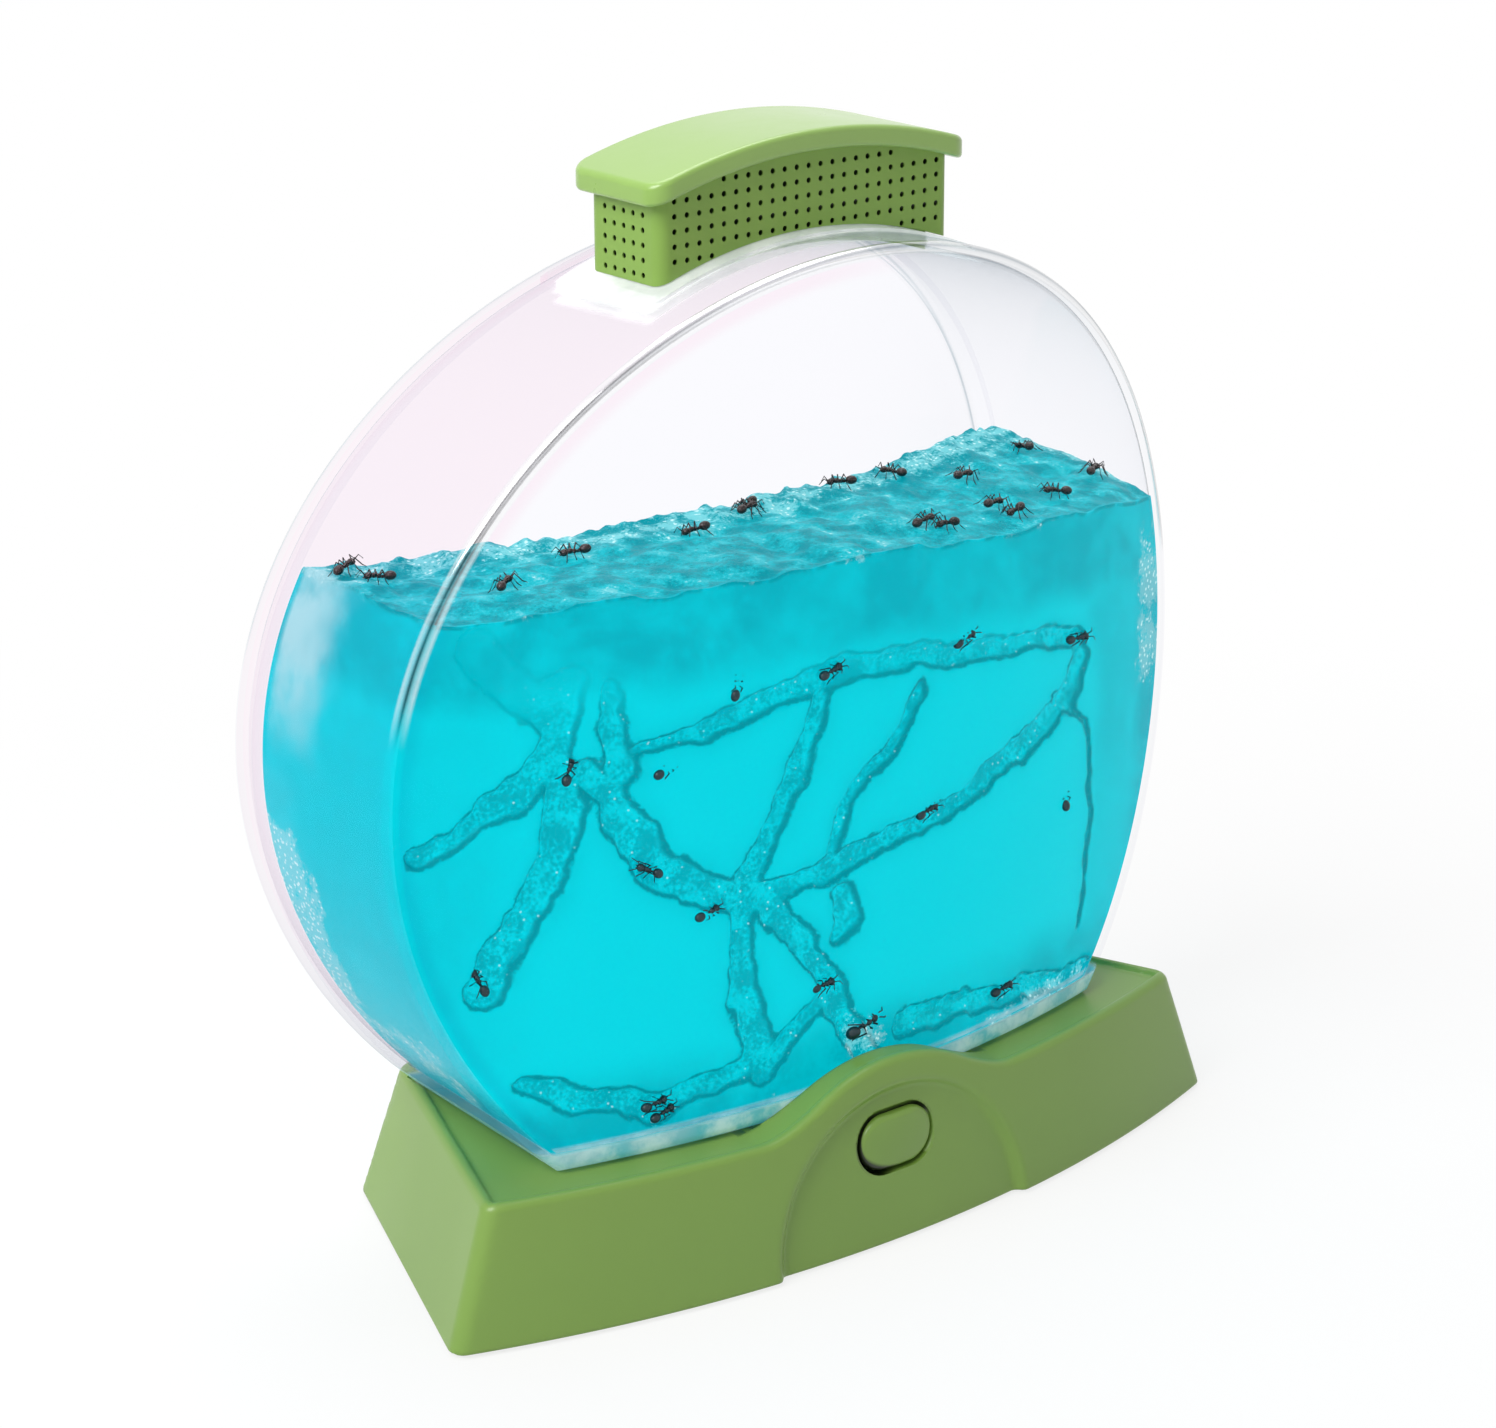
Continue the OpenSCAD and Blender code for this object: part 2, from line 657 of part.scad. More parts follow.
module battery_door() {
    color(DARK_GREEN) union() {
        bay_box(door_lap, plate_z, plate_top - seat_gap);
        for (y = [cell_y(0), cell_y(cell_count - 1)]) {
            translate([door_x0, (y + tub_y) / 2 - hook_w / 2, plate_z + 1])
                cube([0.8, hook_w, plate_t + door_gap + hook_t - 1]);
            translate([door_x0 - hook_reach, (y + tub_y) / 2 - hook_w / 2, plate_top + door_gap])
                cube([hook_reach + 0.5, hook_w, hook_t]);
        }
        // grip ribs beside the latch
        for (i = [0:3]) translate([door_x1 - 4 - 2.2 * i, tub_y - 7, plate_z - 0.4]) cube([1, 14, 1]);
    }
}

module battery_cells() {
    color("silver") for (i = [0:cell_count - 1])
        translate([0, cell_y(i), cell_z]) rotate([0, 90 * cell_way(i), 0])
            translate([0, 0, tub_len / 2 - contact_t - seat_gap - cell_len]) {
                cylinder(d = cell_d, h = cell_len - pip_len);
                translate([0, 0, cell_len - pip_len - 0.5]) cylinder(d = pip_d, h = pip_len + 0.5);
            }
}

// One contact plate at the end of the bay on side s, behind the cells from a to b
module contact_plate(s, a, b) {
    half = cell_d / 2 - 1.2;
    translate([s > 0 ? tab_x : -tab_x - contact_t, cell_y(a) - half, cell_z - half / 2])
        cube([contact_t, cell_y(b) - cell_y(a) + 2 * half, 1.5 * half]);
}

module battery_contacts() {
    color(STEEL) {
        last = cell_count - 1;
        union() {
            contact_plate(1, 0, 0);
            translate([tab_x, cell_y(0) - 1.5, cell_z]) cube([contact_t, 3, tab_top - cell_z]);
        }
        if (cell_count == 3) {
            contact_plate(1, 1, 2);
            contact_plate(-1, 0, 1);
        } else {
            contact_plate(1, 1, 1);
            contact_plate(-1, 0, 0);
        }
        union() {
            if (cell_count == 3) contact_plate(-1, 2, 2);
            translate([-tab_x - contact_t, cell_y(last) - 1.5, cell_z]) cube([contact_t, 3, tab_top - cell_z]);
        }
    }
}

// Conical coil between a contact and the flat end of a cell
module contact_springs() {
    turns = 2.5;
    steps = 30;
    wide = cell_d / 2 - 1.65;
    narrow = wide / 2;
    rise = spring_len - wire - seat_gap;
    color(STEEL) for (i = [0:cell_count - 1])
        translate([0, cell_y(i), cell_z]) rotate([0, -90 * cell_way(i), 0])
            translate([0, 0, tub_len / 2 - contact_t - wire / 2 - 0.02]) mirror([0, 0, 1])
                tube([for (k = [0:steps]) let (t = k / steps, a = 360 * turns * t, r = wide + (narrow - wide) * t)
                    [r * cos(a), r * sin(a), rise * t]], wire, 6);
}

module led_board() {
    color(BOARD) difference() {
        strip(2 * led_half, led_board_w, led_board_z, led_board_top);
        led_post_spots() translate([0, 0, led_board_z - 1]) cylinder(d = small_shank + 0.4, h = board_t + 2);
    }
}

module leds() {
    pitch = (window_len - 16) / (led_count - 1);
    color("ivory") for (i = [0:led_count - 1]) let (x = (i - (led_count - 1) / 2) * pitch)
        translate([x, on_strip(x, 0)[1], led_board_top]) {
            cylinder(d = led_d, h = led_h - led_d / 2 + 0.4);
            intersection() {
                translate([0, 0, led_h - led_d / 2]) sphere(d = led_d - 0.4);
                cylinder(d = led_d, h = led_h);
            }
        }
}

module light_window() {
    color(CLEAR) union() {
        strip(window_len - 2 * seat_gap, window_w - 2 * seat_gap, cradle_under - 0.5, cradle_z);
        strip(window_len + 2 * flange_w, window_w + 2 * flange_w, cradle_under - flange_t, cradle_under);
    }
}

module switch_board() {
    color(BOARD) difference() {
        translate([-sboard_w / 2, sboard_y, sboard_z]) cube([sboard_w, board_t, sboard_top - sboard_z]);
        both_sides() rod_y(small_shank / 2 + 0.2, sboard_y - 1, sboard_y + board_t + 1, x = spost_x, z = button_z);
    }
}

module switch_body() {
    color([0.15, 0.15, 0.16]) difference() {
        translate([-switch_s / 2, switch_y, button_z - switch_s / 2]) cube([switch_s, switch_t, switch_s]);
        rod_y(plunger_d / 2 + 0.1, switch_y - 1, switch_y + plunger_in + button_travel + 0.2, z = button_z);
    }
}

module switch_plunger() {
    color("gainsboro") rod_y(plunger_d / 2, switch_y - plunger_len, switch_y + plunger_in, z = button_z);
}

module button_cap() {
    color(GREEN) union() {
        intersection() {
            oval_rod(button_w, button_h, pad_y - button_proud - 5, flange_y + 0.5);
            translate([0, pad_y - button_proud + button_crown_r, button_z]) sphere(r = button_crown_r, $fn = 128);
        }
        oval_rod(button_w + 2 * flange_grow, button_h + 2 * flange_grow, flange_y, flange_y + button_flange);
        rod_y(stem_d / 2, flange_y, flange_y + button_flange + stem_len, z = button_z);
    }
}

// ---------- fasteners and feet ----------

module base_screws() {
    color(STEEL) base_screw_spots() translate([0, 0, plate_top - head_h]) {
        difference() {
            cylinder(d = head_d, h = head_h);
            for (a = [0, 90]) rotate([0, 0, a])
                translate([-slot_len / 2, -slot_w / 2, -past]) cube([slot_len, slot_w, slot_depth + past]);
        }
        translate([0, 0, head_h - 0.3]) cylinder(d = shank_d, h = base_screw_len);
    }
}

module board_screws() {
    color(STEEL) led_post_spots() translate([0, 0, led_board_z - small_head_h]) {
        cylinder(d = small_head, h = small_head_h);
        translate([0, 0, small_head_h - 0.3]) cylinder(d = small_shank, h = small_len);
    }
}

module switch_screws() {
    back = sboard_y + board_t;
    color(STEEL) both_sides() {
        rod_y(small_head / 2, back, back + small_head_h, x = spost_x, z = button_z);
        rod_y(small_shank / 2, back - small_len, back + 0.3, x = spost_x, z = button_z);
    }
}

module rubber_feet() {
    color([0.2, 0.2, 0.2]) foot_spots() cylinder(d = rubber_d, h = plate_z + rubber_sunk);
}

module lead_red() color("red") tube(route(red_route, 4), lead_d);
module lead_black() color([0.1, 0.1, 0.1]) tube(route(black_route, 4), lead_d);
module lead_link() color("white") tube(route(link_route, 4), lead_d);

// ---------- tank ----------

module tank_shell() {
    difference() {
        tank_form(0, tank_z);
        tank_form(tank_wall, tank_z + tank_floor);
    }
}

// Boss round the neck, in the curve of the tank's top
module neck_boss() {
    front = vent_y - vent_d / 2 - boss_front;
    rear = vent_y + vent_d / 2 + boss_rear;
    intersection() {
        rod_y(boss_r, front - 1, rear + 1, z = tank_cz);
        slab(boss_w, rear - front, 4, tank_cz, tank_cz + far, (front + rear) / 2);
    }
}

module tank_front_shell() {
    color(CLEAR) difference() {
        union() {
            difference() {
                union() {
                    tank_shell();
                    difference() {
                        neck_boss();
                        tank_form(tank_wall, tank_z + tank_floor);
                    }
                }
                behind_seam(seam_depth);
            }
            // spigot that the rear cover slips over
            difference() {
                intersection() {
                    tank_form(tank_wall / 2 + seat_gap, tank_z + tank_floor / 2 + seat_gap);
                    behind_seam(seam_depth + 0.5);
                }
                behind_seam(seam_depth - spigot_len);
                tank_form(tank_wall, tank_z + tank_floor);
            }
            // foot that drops into the base
            translate([0, 0, cradle_z + lift_gap]) linear_extrude(tank_z - cradle_z - lift_gap + 1) difference() {
                foot_plan(0);
                foot_plan(-tank_wall);
            }
        }
        slab(vent_w - 2 * plug_inset + 2 * side_gap, vent_d - 2 * plug_inset + 2 * side_gap,
            vent_corner, plug_z - tank_wall, tank_cz + far / 2, vent_y);
    }
}

module tank_rear_cover() {
    color(CLEAR) difference() {
        intersection() {
            tank_shell();
            behind_seam(seam_depth - seat_gap);
        }
        difference() {
            tank_form(tank_wall / 2, tank_z + tank_floor / 2);
            behind_seam(seam_depth - spigot_len - seat_gap);
        }
    }
}

// Block with the gel's uneven top, wider and deeper than the tank
module gel_mound() {
    y0 = tank_front_y - past;
    y1 = tank_rear_y + tank_depth / 2;
    across = gel_columns + 1;
    function at(i, j) = [(2 * i / gel_columns - 1) * (tank_r + past), y0 + (y1 - y0) * j / gel_rows];
    top = [for (j = [0:gel_rows], i = [0:gel_columns]) let (p = at(i, j)) [p[0], p[1], gel_top(p[0], p[1])]];
    low = [for (p = top) [p[0], p[1], tank_z - past]];
    n = len(top);
    last = gel_rows * across;
    faces = concat(
        [for (j = [0:gel_rows - 1], i = [0:gel_columns - 1], side = [0, 1]) let (a = j * across + i)
            side == 0 ? [a, a + across, a + 1] : [a + 1, a + across, a + across + 1]],
        [concat([for (i = [0:gel_columns]) i], [n + gel_columns, n])],
        [concat([for (i = [gel_columns:-1:0]) last + i], [n + last, n + last + gel_columns])],
        [concat([for (j = [gel_rows:-1:0]) j * across], [n, n + last])],
        [concat([for (j = [0:gel_rows]) j * across + gel_columns], [n + last + gel_columns, n + gel_columns])],
        [[n, n + gel_columns, n + last + gel_columns, n + last]]);
    polyhedron(concat(top, low), faces, convexity = 6);
}

// Round-bottomed channels along the front face
module gel_tunnels() {
    for (t = tunnels, i = [0:len(t) - 2])
        hull() for (p = [t[i], t[i + 1]])
            translate([p[0], gel_front(p[0]), deck_z + p[1]]) sphere(d = p[2] * tunnel_girth, $fn = tunnel_fn);
}

module gel_block() {
    color(GEL) difference() {
        intersection() {
            tank_form(gel_in, tank_z + tank_floor + seat_gap, gel_fn);
            gel_mound();
        }
        behind_seam(seam_depth, gel_fn);
        gel_tunnels();
    }
}

// ---------- vent ----------

// True if a hole at height z above the tank's centre keeps its edge of wall, below at x_in and above at x_out
function hole_fits(x_in, x_out, z) =
    norm([x_in, z]) - vent_r > hole_d / 2 + hole_edge
    && cap_under_r - norm([x_out, z]) > hole_d / 2 + hole_top_edge;

// Flat perforated plate: columns by rows of holes round its middle. A side wall, at one place x, gives its faces
module grille(w, columns, side = []) {
    pitch_count = (columns - 1) / 2;
    rows_up = ceil((cap_under_r - hole_row) / hole_pitch_z);
    rows_down = ceil((hole_row - wall_low) / hole_pitch_z);
    difference() {
        translate([-w / 2, wall_low]) square([w, wall_high - wall_low]);
        for (c = [-pitch_count:pitch_count], k = [-rows_down:rows_up]) {
            x = c * hole_pitch_x;
            z = hole_row + k * hole_pitch_z;
            if (hole_fits(side == [] ? x : side[0], side == [] ? x : side[1], z))
                translate([x, z]) circle(d = hole_d, $fn = 24);
        }
    }
}

module vent_walls() {
    front_w = vent_w - 2 * vent_corner;
    side_w = vent_d - 2 * vent_corner;
    front_columns = 2 * floor((front_w / 2 - hole_d / 2 - 0.4) / hole_pitch_x) + 1;
    side_columns = 2 * floor((side_w / 2 - hole_d / 2 - 1) / hole_pitch_x) + 1;
    translate([0, vent_y, tank_cz]) {
        for (s = [-1, 1]) {
            translate([0, s * (vent_d / 2 - vent_wall / 2) + vent_wall / 2, 0]) rotate([90, 0, 0])
                linear_extrude(vent_wall) grille(front_w, front_columns);
            translate([s * (vent_x - vent_wall / 2) - vent_wall / 2, 0, 0]) rotate([90, 0, 90])
                linear_extrude(vent_wall) grille(side_w, side_columns, [vent_x - vent_wall, vent_x]);
            for (t = [-1, 1]) translate([s * (vent_x - vent_corner), t * (vent_d / 2 - vent_corner), wall_low])
                linear_extrude(wall_high - wall_low) intersection() {
                    difference() {
                        circle(r = vent_corner);
                        circle(r = vent_corner - vent_wall);
                    }
                    translate([s > 0 ? 0 : -vent_corner, t > 0 ? 0 : -vent_corner]) square(vent_corner);
                }
        }
    }
}

module vent_box() {
    color(GREEN) union() {
        intersection() {
            vent_walls();
            difference() {
                rod_y(cap_under_r, vent_y - vent_d, vent_y + vent_d, z = tank_cz);
                rod_y(vent_r, vent_y - far / 4, vent_y + far / 4, z = tank_cz);
            }
        }
        // shelf on the neck boss and plug that hangs in the neck
        difference() {
            union() {
                intersection() {
                    slab(vent_w - 2 * vent_wall, vent_d - 2 * vent_wall, vent_corner - vent_wall, tank_cz,
                        tank_cz + far, vent_y);
                    difference() {
                        rod_y(vent_r + shelf_t, vent_y - vent_d, vent_y + vent_d, z = tank_cz);
                        rod_y(vent_r, vent_y - far / 4, vent_y + far / 4, z = tank_cz);
                    }
                }
                intersection() {
                    slab(vent_w - 2 * plug_inset, vent_d - 2 * plug_inset, vent_corner, plug_z,
                        tank_cz + far, vent_y);
                    difference() {
                        rod_y(vent_r + 0.5, vent_y - vent_d, vent_y + vent_d, z = tank_cz);
                        rod_y(plug_r, vent_y - far / 4, vent_y + far / 4, z = tank_cz);
                    }
                }
            }
            slab(vent_w - 2 * (plug_inset + plug_wall), vent_d - 2 * (plug_inset + plug_wall),
                vent_corner - plug_wall, plug_z - 1, tank_cz + far, vent_y);
        }
    }
}

module vent_cap() {
    inner = vent_wall + seat_gap;
    color(GREEN) union() {
        intersection() {
            slab(vent_w + 2 * cap_over, vent_d + 2 * cap_over, cap_corner, tank_cz, tank_cz + far, vent_y);
            difference() {
                rod_y(cap_r, vent_y - vent_d, vent_y + vent_d, z = tank_cz);
                rod_y(cap_under_r, vent_y - far / 4, vent_y + far / 4, z = tank_cz);
            }
        }
        // rib that centres the cap in the vent box
        intersection() {
            difference() {
                slab(vent_w - 2 * inner, vent_d - 2 * inner, vent_corner - vent_wall, tank_cz, tank_cz + far, vent_y);
                slab(vent_w - 2 * (inner + rib_t), vent_d - 2 * (inner + rib_t), 0.8, tank_cz - 1,
                    tank_cz + far + 1, vent_y);
            }
            difference() {
                rod_y(cap_under_r + 0.5, vent_y - vent_d, vent_y + vent_d, z = tank_cz);
                rod_y(cap_under_r - rib_drop, vent_y - far / 4, vent_y + far / 4, z = tank_cz);
            }
        }
    }
}

base_housing();
base_plate();
battery_door();
battery_cells();
battery_contacts();
contact_springs();
led_board();
leds();
light_window();
switch_board();
switch_body();
switch_plunger();
button_cap();
base_screws();
board_screws();
switch_screws();
rubber_feet();
lead_red();
lead_black();
lead_link();
tank_front_shell();
tank_rear_cover();
gel_block();
vent_box();
vent_cap();
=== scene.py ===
"""Ant habitat: a lit base, a round tank of gel with ants, and a vent under an arched cap."""

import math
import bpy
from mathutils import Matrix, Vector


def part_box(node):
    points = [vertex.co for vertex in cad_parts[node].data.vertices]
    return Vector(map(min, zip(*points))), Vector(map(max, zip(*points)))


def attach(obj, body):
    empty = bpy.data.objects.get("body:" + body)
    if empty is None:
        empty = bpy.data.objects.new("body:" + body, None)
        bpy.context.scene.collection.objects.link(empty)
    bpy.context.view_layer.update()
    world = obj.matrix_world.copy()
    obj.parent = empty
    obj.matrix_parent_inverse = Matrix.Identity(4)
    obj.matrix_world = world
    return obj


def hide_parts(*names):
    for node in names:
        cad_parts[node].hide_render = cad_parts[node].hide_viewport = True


bl_info = {
    "name": "Ant Habitat",
    "version": (1, 0, 0),
    "blender": (4, 5, 0),
    "location": "View3D > Sidebar > Habitat",
    "description": "Finishes the pieces of a table-top ant habitat and sets it on a plain studio floor",
    "category": "Object",
}

import bmesh
import bpy
import numpy as np
from bpy.props import FloatProperty, FloatVectorProperty, IntProperty, PointerProperty
from mathutils import Matrix, Vector

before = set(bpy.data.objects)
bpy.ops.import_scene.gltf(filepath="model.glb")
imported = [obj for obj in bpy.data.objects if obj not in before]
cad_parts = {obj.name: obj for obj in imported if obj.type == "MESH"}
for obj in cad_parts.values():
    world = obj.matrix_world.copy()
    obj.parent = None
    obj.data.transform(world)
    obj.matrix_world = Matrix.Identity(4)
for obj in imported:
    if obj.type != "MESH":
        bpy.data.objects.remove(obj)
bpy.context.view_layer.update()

MM = 0.001

# ---------- sizes of the base, in millimetres ----------

BASE_LOW, BASE_HIGH = (np.array(corner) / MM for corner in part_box("base_housing"))
CAP_LOW, CAP_HIGH = (np.array(corner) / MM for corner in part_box("vent_cap"))

RIM_Z = float(BASE_LOW[2])
BASE_H = 33.0
DECK_Z = RIM_Z + BASE_H
DECK_SUNK = 1.2
LIP = 3.0
BASE_FRONT_R = 340.0
ARCH_R = 44.5
PAD_R = 37.0
PAD_DEPTH = 2.4
PAD_FILLET = 1.8
BASE_CY = float(BASE_LOW[1]) + math.sqrt(BASE_FRONT_R ** 2 - PAD_R ** 2)
END_ANGLE = math.asin(float(BASE_HIGH[0]) / BASE_FRONT_R)
END_TILT = math.radians(17)
BASE_REAR_R = (BASE_CY - float(BASE_HIGH[1])) / math.cos(END_ANGLE)
FRONT_SLOPE = 5.6 / BASE_H
REAR_SLOPE = 3.2 / BASE_H
SHELL_WALL = 2.4
CRADLE_Z = DECK_Z - 7.0
SIDE_GAP = 0.35

BUTTON_Z = RIM_Z + 24.0
BUTTON_W = 22.0
BUTTON_H = 14.0
BUTTON_GAP = 0.45
BUTTON_ROOM = 0.4
BUTTON_SHIFT = 0.2
BUTTON_CROWN = 48.0
# reach of the painted shadow in the gap round the button, in millimetres beyond the button's edge
GAP_SHADE = 1.3
PAD_Y = BASE_CY - BASE_FRONT_R + FRONT_SLOPE * (BUTTON_Z - RIM_Z) + PAD_DEPTH

# ---------- sizes of the tank, in millimetres ----------

TANK_LOW, TANK_HIGH = (np.array(corner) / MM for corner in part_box("tank_front_shell"))
VENT_LOW, VENT_HIGH = (np.array(corner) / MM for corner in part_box("vent_box"))

TANK_R = float(TANK_HIGH[0])
BOSS_RISE = 0.8
TANK_CZ = float(TANK_HIGH[2]) - TANK_R - BOSS_RISE
UNDERSIDE = float(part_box("tank_rear_cover")[0][2]) / MM
FOOT_Z = float(TANK_LOW[2])
WALL = 2.2
FLOOR = 3.4
SEAM_DEPTH = 8.6
SEAT = 0.1
FRONT_CURVE = 313.0
REAR_CURVE = 274.0
TANK_DEPTH = 64.5
TAPER = 1.8 / TANK_DEPTH
FRONT_Y = float(TANK_LOW[1])
FRONT_CY = FRONT_Y + FRONT_CURVE
REAR_CY = FRONT_Y + TANK_DEPTH + REAR_CURVE
CORNER_Y = FRONT_CY - math.sqrt(FRONT_CURVE ** 2 - TANK_R ** 2)
FOOT_HALF = 68.0
FOOT_INSET = 12.0

VENT_Y = float(VENT_LOW[1] + VENT_HIGH[1]) / 2
VENT_W = float(VENT_HIGH[0] - VENT_LOW[0])
VENT_D = float(VENT_HIGH[1] - VENT_LOW[1])
VENT_CORNER = 3.0
NECK_MARGIN = 2.65
NECK_CORNER = 3.0
BOSS_HALF = 48.0
BOSS_FRONT = 4.0
BOSS_CORNER = 4.0
CAP_R = float(CAP_HIGH[2]) - TANK_CZ
CAP_T = 5.0
CAP_CORNER = 5.0


def srgb(red, green, blue):
    """A display colour, 0 to 255, as Blender's linear one."""
    def linear(c):
        c /= 255
        return c / 12.92 if c <= 0.04045 else ((c + 0.055) / 1.055) ** 2.4
    return (linear(red), linear(green), linear(blue))


# ---------- settings ----------

class ShellSettings(bpy.types.PropertyGroup):
    """Green mouldings: the base, the button, the vent and its cap."""

    colour: FloatVectorProperty(name="Colour", description="Colour of the green mouldings", subtype="COLOR",
                                size=3, min=0, max=1, default=srgb(121, 155, 68))
    under: FloatVectorProperty(name="Underside", description="Colour of the plate and door under the base",
                               subtype="COLOR", size=3, min=0, max=1, default=srgb(122, 156, 88))
    corner: FloatProperty(name="Corner rounding", description="Rounding of the base's upright corners",
                          default=4 * MM, min=0, max=6 * MM, unit="LENGTH")
    lip_edge: FloatProperty(name="Lip rounding", description="Rounding of the lip and the arch",
                            default=1.7 * MM, min=0, max=3 * MM, unit="LENGTH")
    edge: FloatProperty(name="Edge rounding", description="Rounding of the bottom rim and inside the lip",
                        default=0.6 * MM, min=0, max=1.2 * MM, unit="LENGTH")
    arch_fillet: FloatProperty(name="Arch fillet", description="Fillet between the arch and the deck",
                               default=6 * MM, min=1 * MM, max=10 * MM, unit="LENGTH")
    pad_edge: FloatProperty(name="Pad rounding", description="Rounding of the edge over the sunk pad",
                            default=2.2 * MM, min=0, max=2.4 * MM, unit="LENGTH")
    button_edge: FloatProperty(name="Button rounding", description="Rounding of the button's edge",
                               default=1.2 * MM, min=0, max=2 * MM, unit="LENGTH")
    cap_edge: FloatProperty(name="Cap rounding", description="Rounding of the vent cap's edges",
                            default=1.2 * MM, min=0, max=2 * MM, unit="LENGTH")


class TankSettings(bpy.types.PropertyGroup):
    """Clear tank."""

    rim: FloatProperty(name="Rim rounding", description="Rounding of the tank's outer rims",
                       default=2.6 * MM, min=1 * MM, max=4 * MM, unit="LENGTH")
    inner_rim: FloatProperty(name="Inner rounding", description="Rounding inside the tank's rims",
                             default=1.4 * MM, min=0.5 * MM, max=3 * MM, unit="LENGTH")
    tint: FloatVectorProperty(name="Tint", description="Tint of the clear plastic", subtype="COLOR",
                              size=3, min=0, max=1, default=srgb(254, 254, 255))


class GelSettings(bpy.types.PropertyGroup):
    """Ant gel and its tunnels."""

    bright: FloatVectorProperty(name="Bright", description="Colour of the clear gel", subtype="COLOR",
                                size=3, min=0, max=1, default=srgb(0, 224, 238))
    cloudy: FloatVectorProperty(name="Cloudy", description="Colour of the clouded gel", subtype="COLOR",
                                size=3, min=0, max=1, default=srgb(0, 186, 203))
    deep: FloatVectorProperty(name="Deep", description="Colour of the tunnels' edges", subtype="COLOR",
                              size=3, min=0, max=1, default=srgb(0, 140, 154))
    milk: FloatVectorProperty(name="Milk", description="Colour of the streaks near the top", subtype="COLOR",
                              size=3, min=0, max=1, default=srgb(30, 208, 220))
    foam: FloatVectorProperty(name="Foam", description="Colour of trapped air", subtype="COLOR",
                              size=3, min=0, max=1, default=srgb(205, 252, 253))
    girth: FloatProperty(name="Tunnel girth", description="Share of the tunnels' listed widths",
                         default=1.35, min=0.5, max=1.6, subtype="FACTOR")
    tunnel_depth: FloatProperty(name="Tunnel depth", description="How deep the tunnels are",
                                default=1.8 * MM, min=0, max=5 * MM, unit="LENGTH")
    seed: IntProperty(name="Seed", description="Seed of the gel's lumps and froth", default=7, min=0)


class AntSettings(bpy.types.PropertyGroup):
    """Ants."""

    length: FloatProperty(name="Length", description="Length of an ant's body", default=7.6 * MM,
                          min=2 * MM, max=12 * MM, unit="LENGTH")
    colour: FloatVectorProperty(name="Colour", description="Colour of an ant's body", subtype="COLOR",
                                size=3, min=0, max=1, default=srgb(38, 24, 20))
    in_gel: FloatVectorProperty(name="Colour in the gel", description="Colour of an ant that gel surrounds",
                                subtype="COLOR", size=3, min=0, max=1, default=srgb(4, 46, 54))
    seed: IntProperty(name="Seed", description="Seed of the ants' poses", default=11, min=0)


class StageSettings(bpy.types.PropertyGroup):
    """Studio floor, lights and camera."""

    key: FloatProperty(name="Key light", description="Power of the large lamp at the upper left",
                       default=19.0, min=0, subtype="POWER")
    top: FloatProperty(name="Top light", description="Power of the large lamp overhead",
                       default=12.0, min=0, subtype="POWER")
    sky: FloatProperty(name="Sky", description="Strength of the even light from all around",
                       default=0.35, min=0, max=2)
    lens: FloatProperty(name="Lens", description="Focal length on a 36 mm wide sensor, in millimetres",
                        default=90.94, min=20, max=300)
    azimuth: FloatProperty(name="Azimuth", description="Camera's turn to the left of the front",
                           default=math.radians(-38.668), subtype="ANGLE")
    elevation: FloatProperty(name="Elevation", description="Camera's height angle",
                             default=math.radians(19.043), subtype="ANGLE")
    roll: FloatProperty(name="Roll", description="Camera's roll", default=math.radians(-0.249),
                        subtype="ANGLE")
    distance: FloatProperty(name="Distance", description="Distance from the camera to its target",
                            default=898 * MM, min=0.1, unit="LENGTH")
    target: FloatVectorProperty(name="Target", description="Point that the camera looks at", size=3,
                                default=(-3.18 * MM, 3.23 * MM, 117.76 * MM), subtype="XYZ", unit="LENGTH")


# ---------- materials ----------

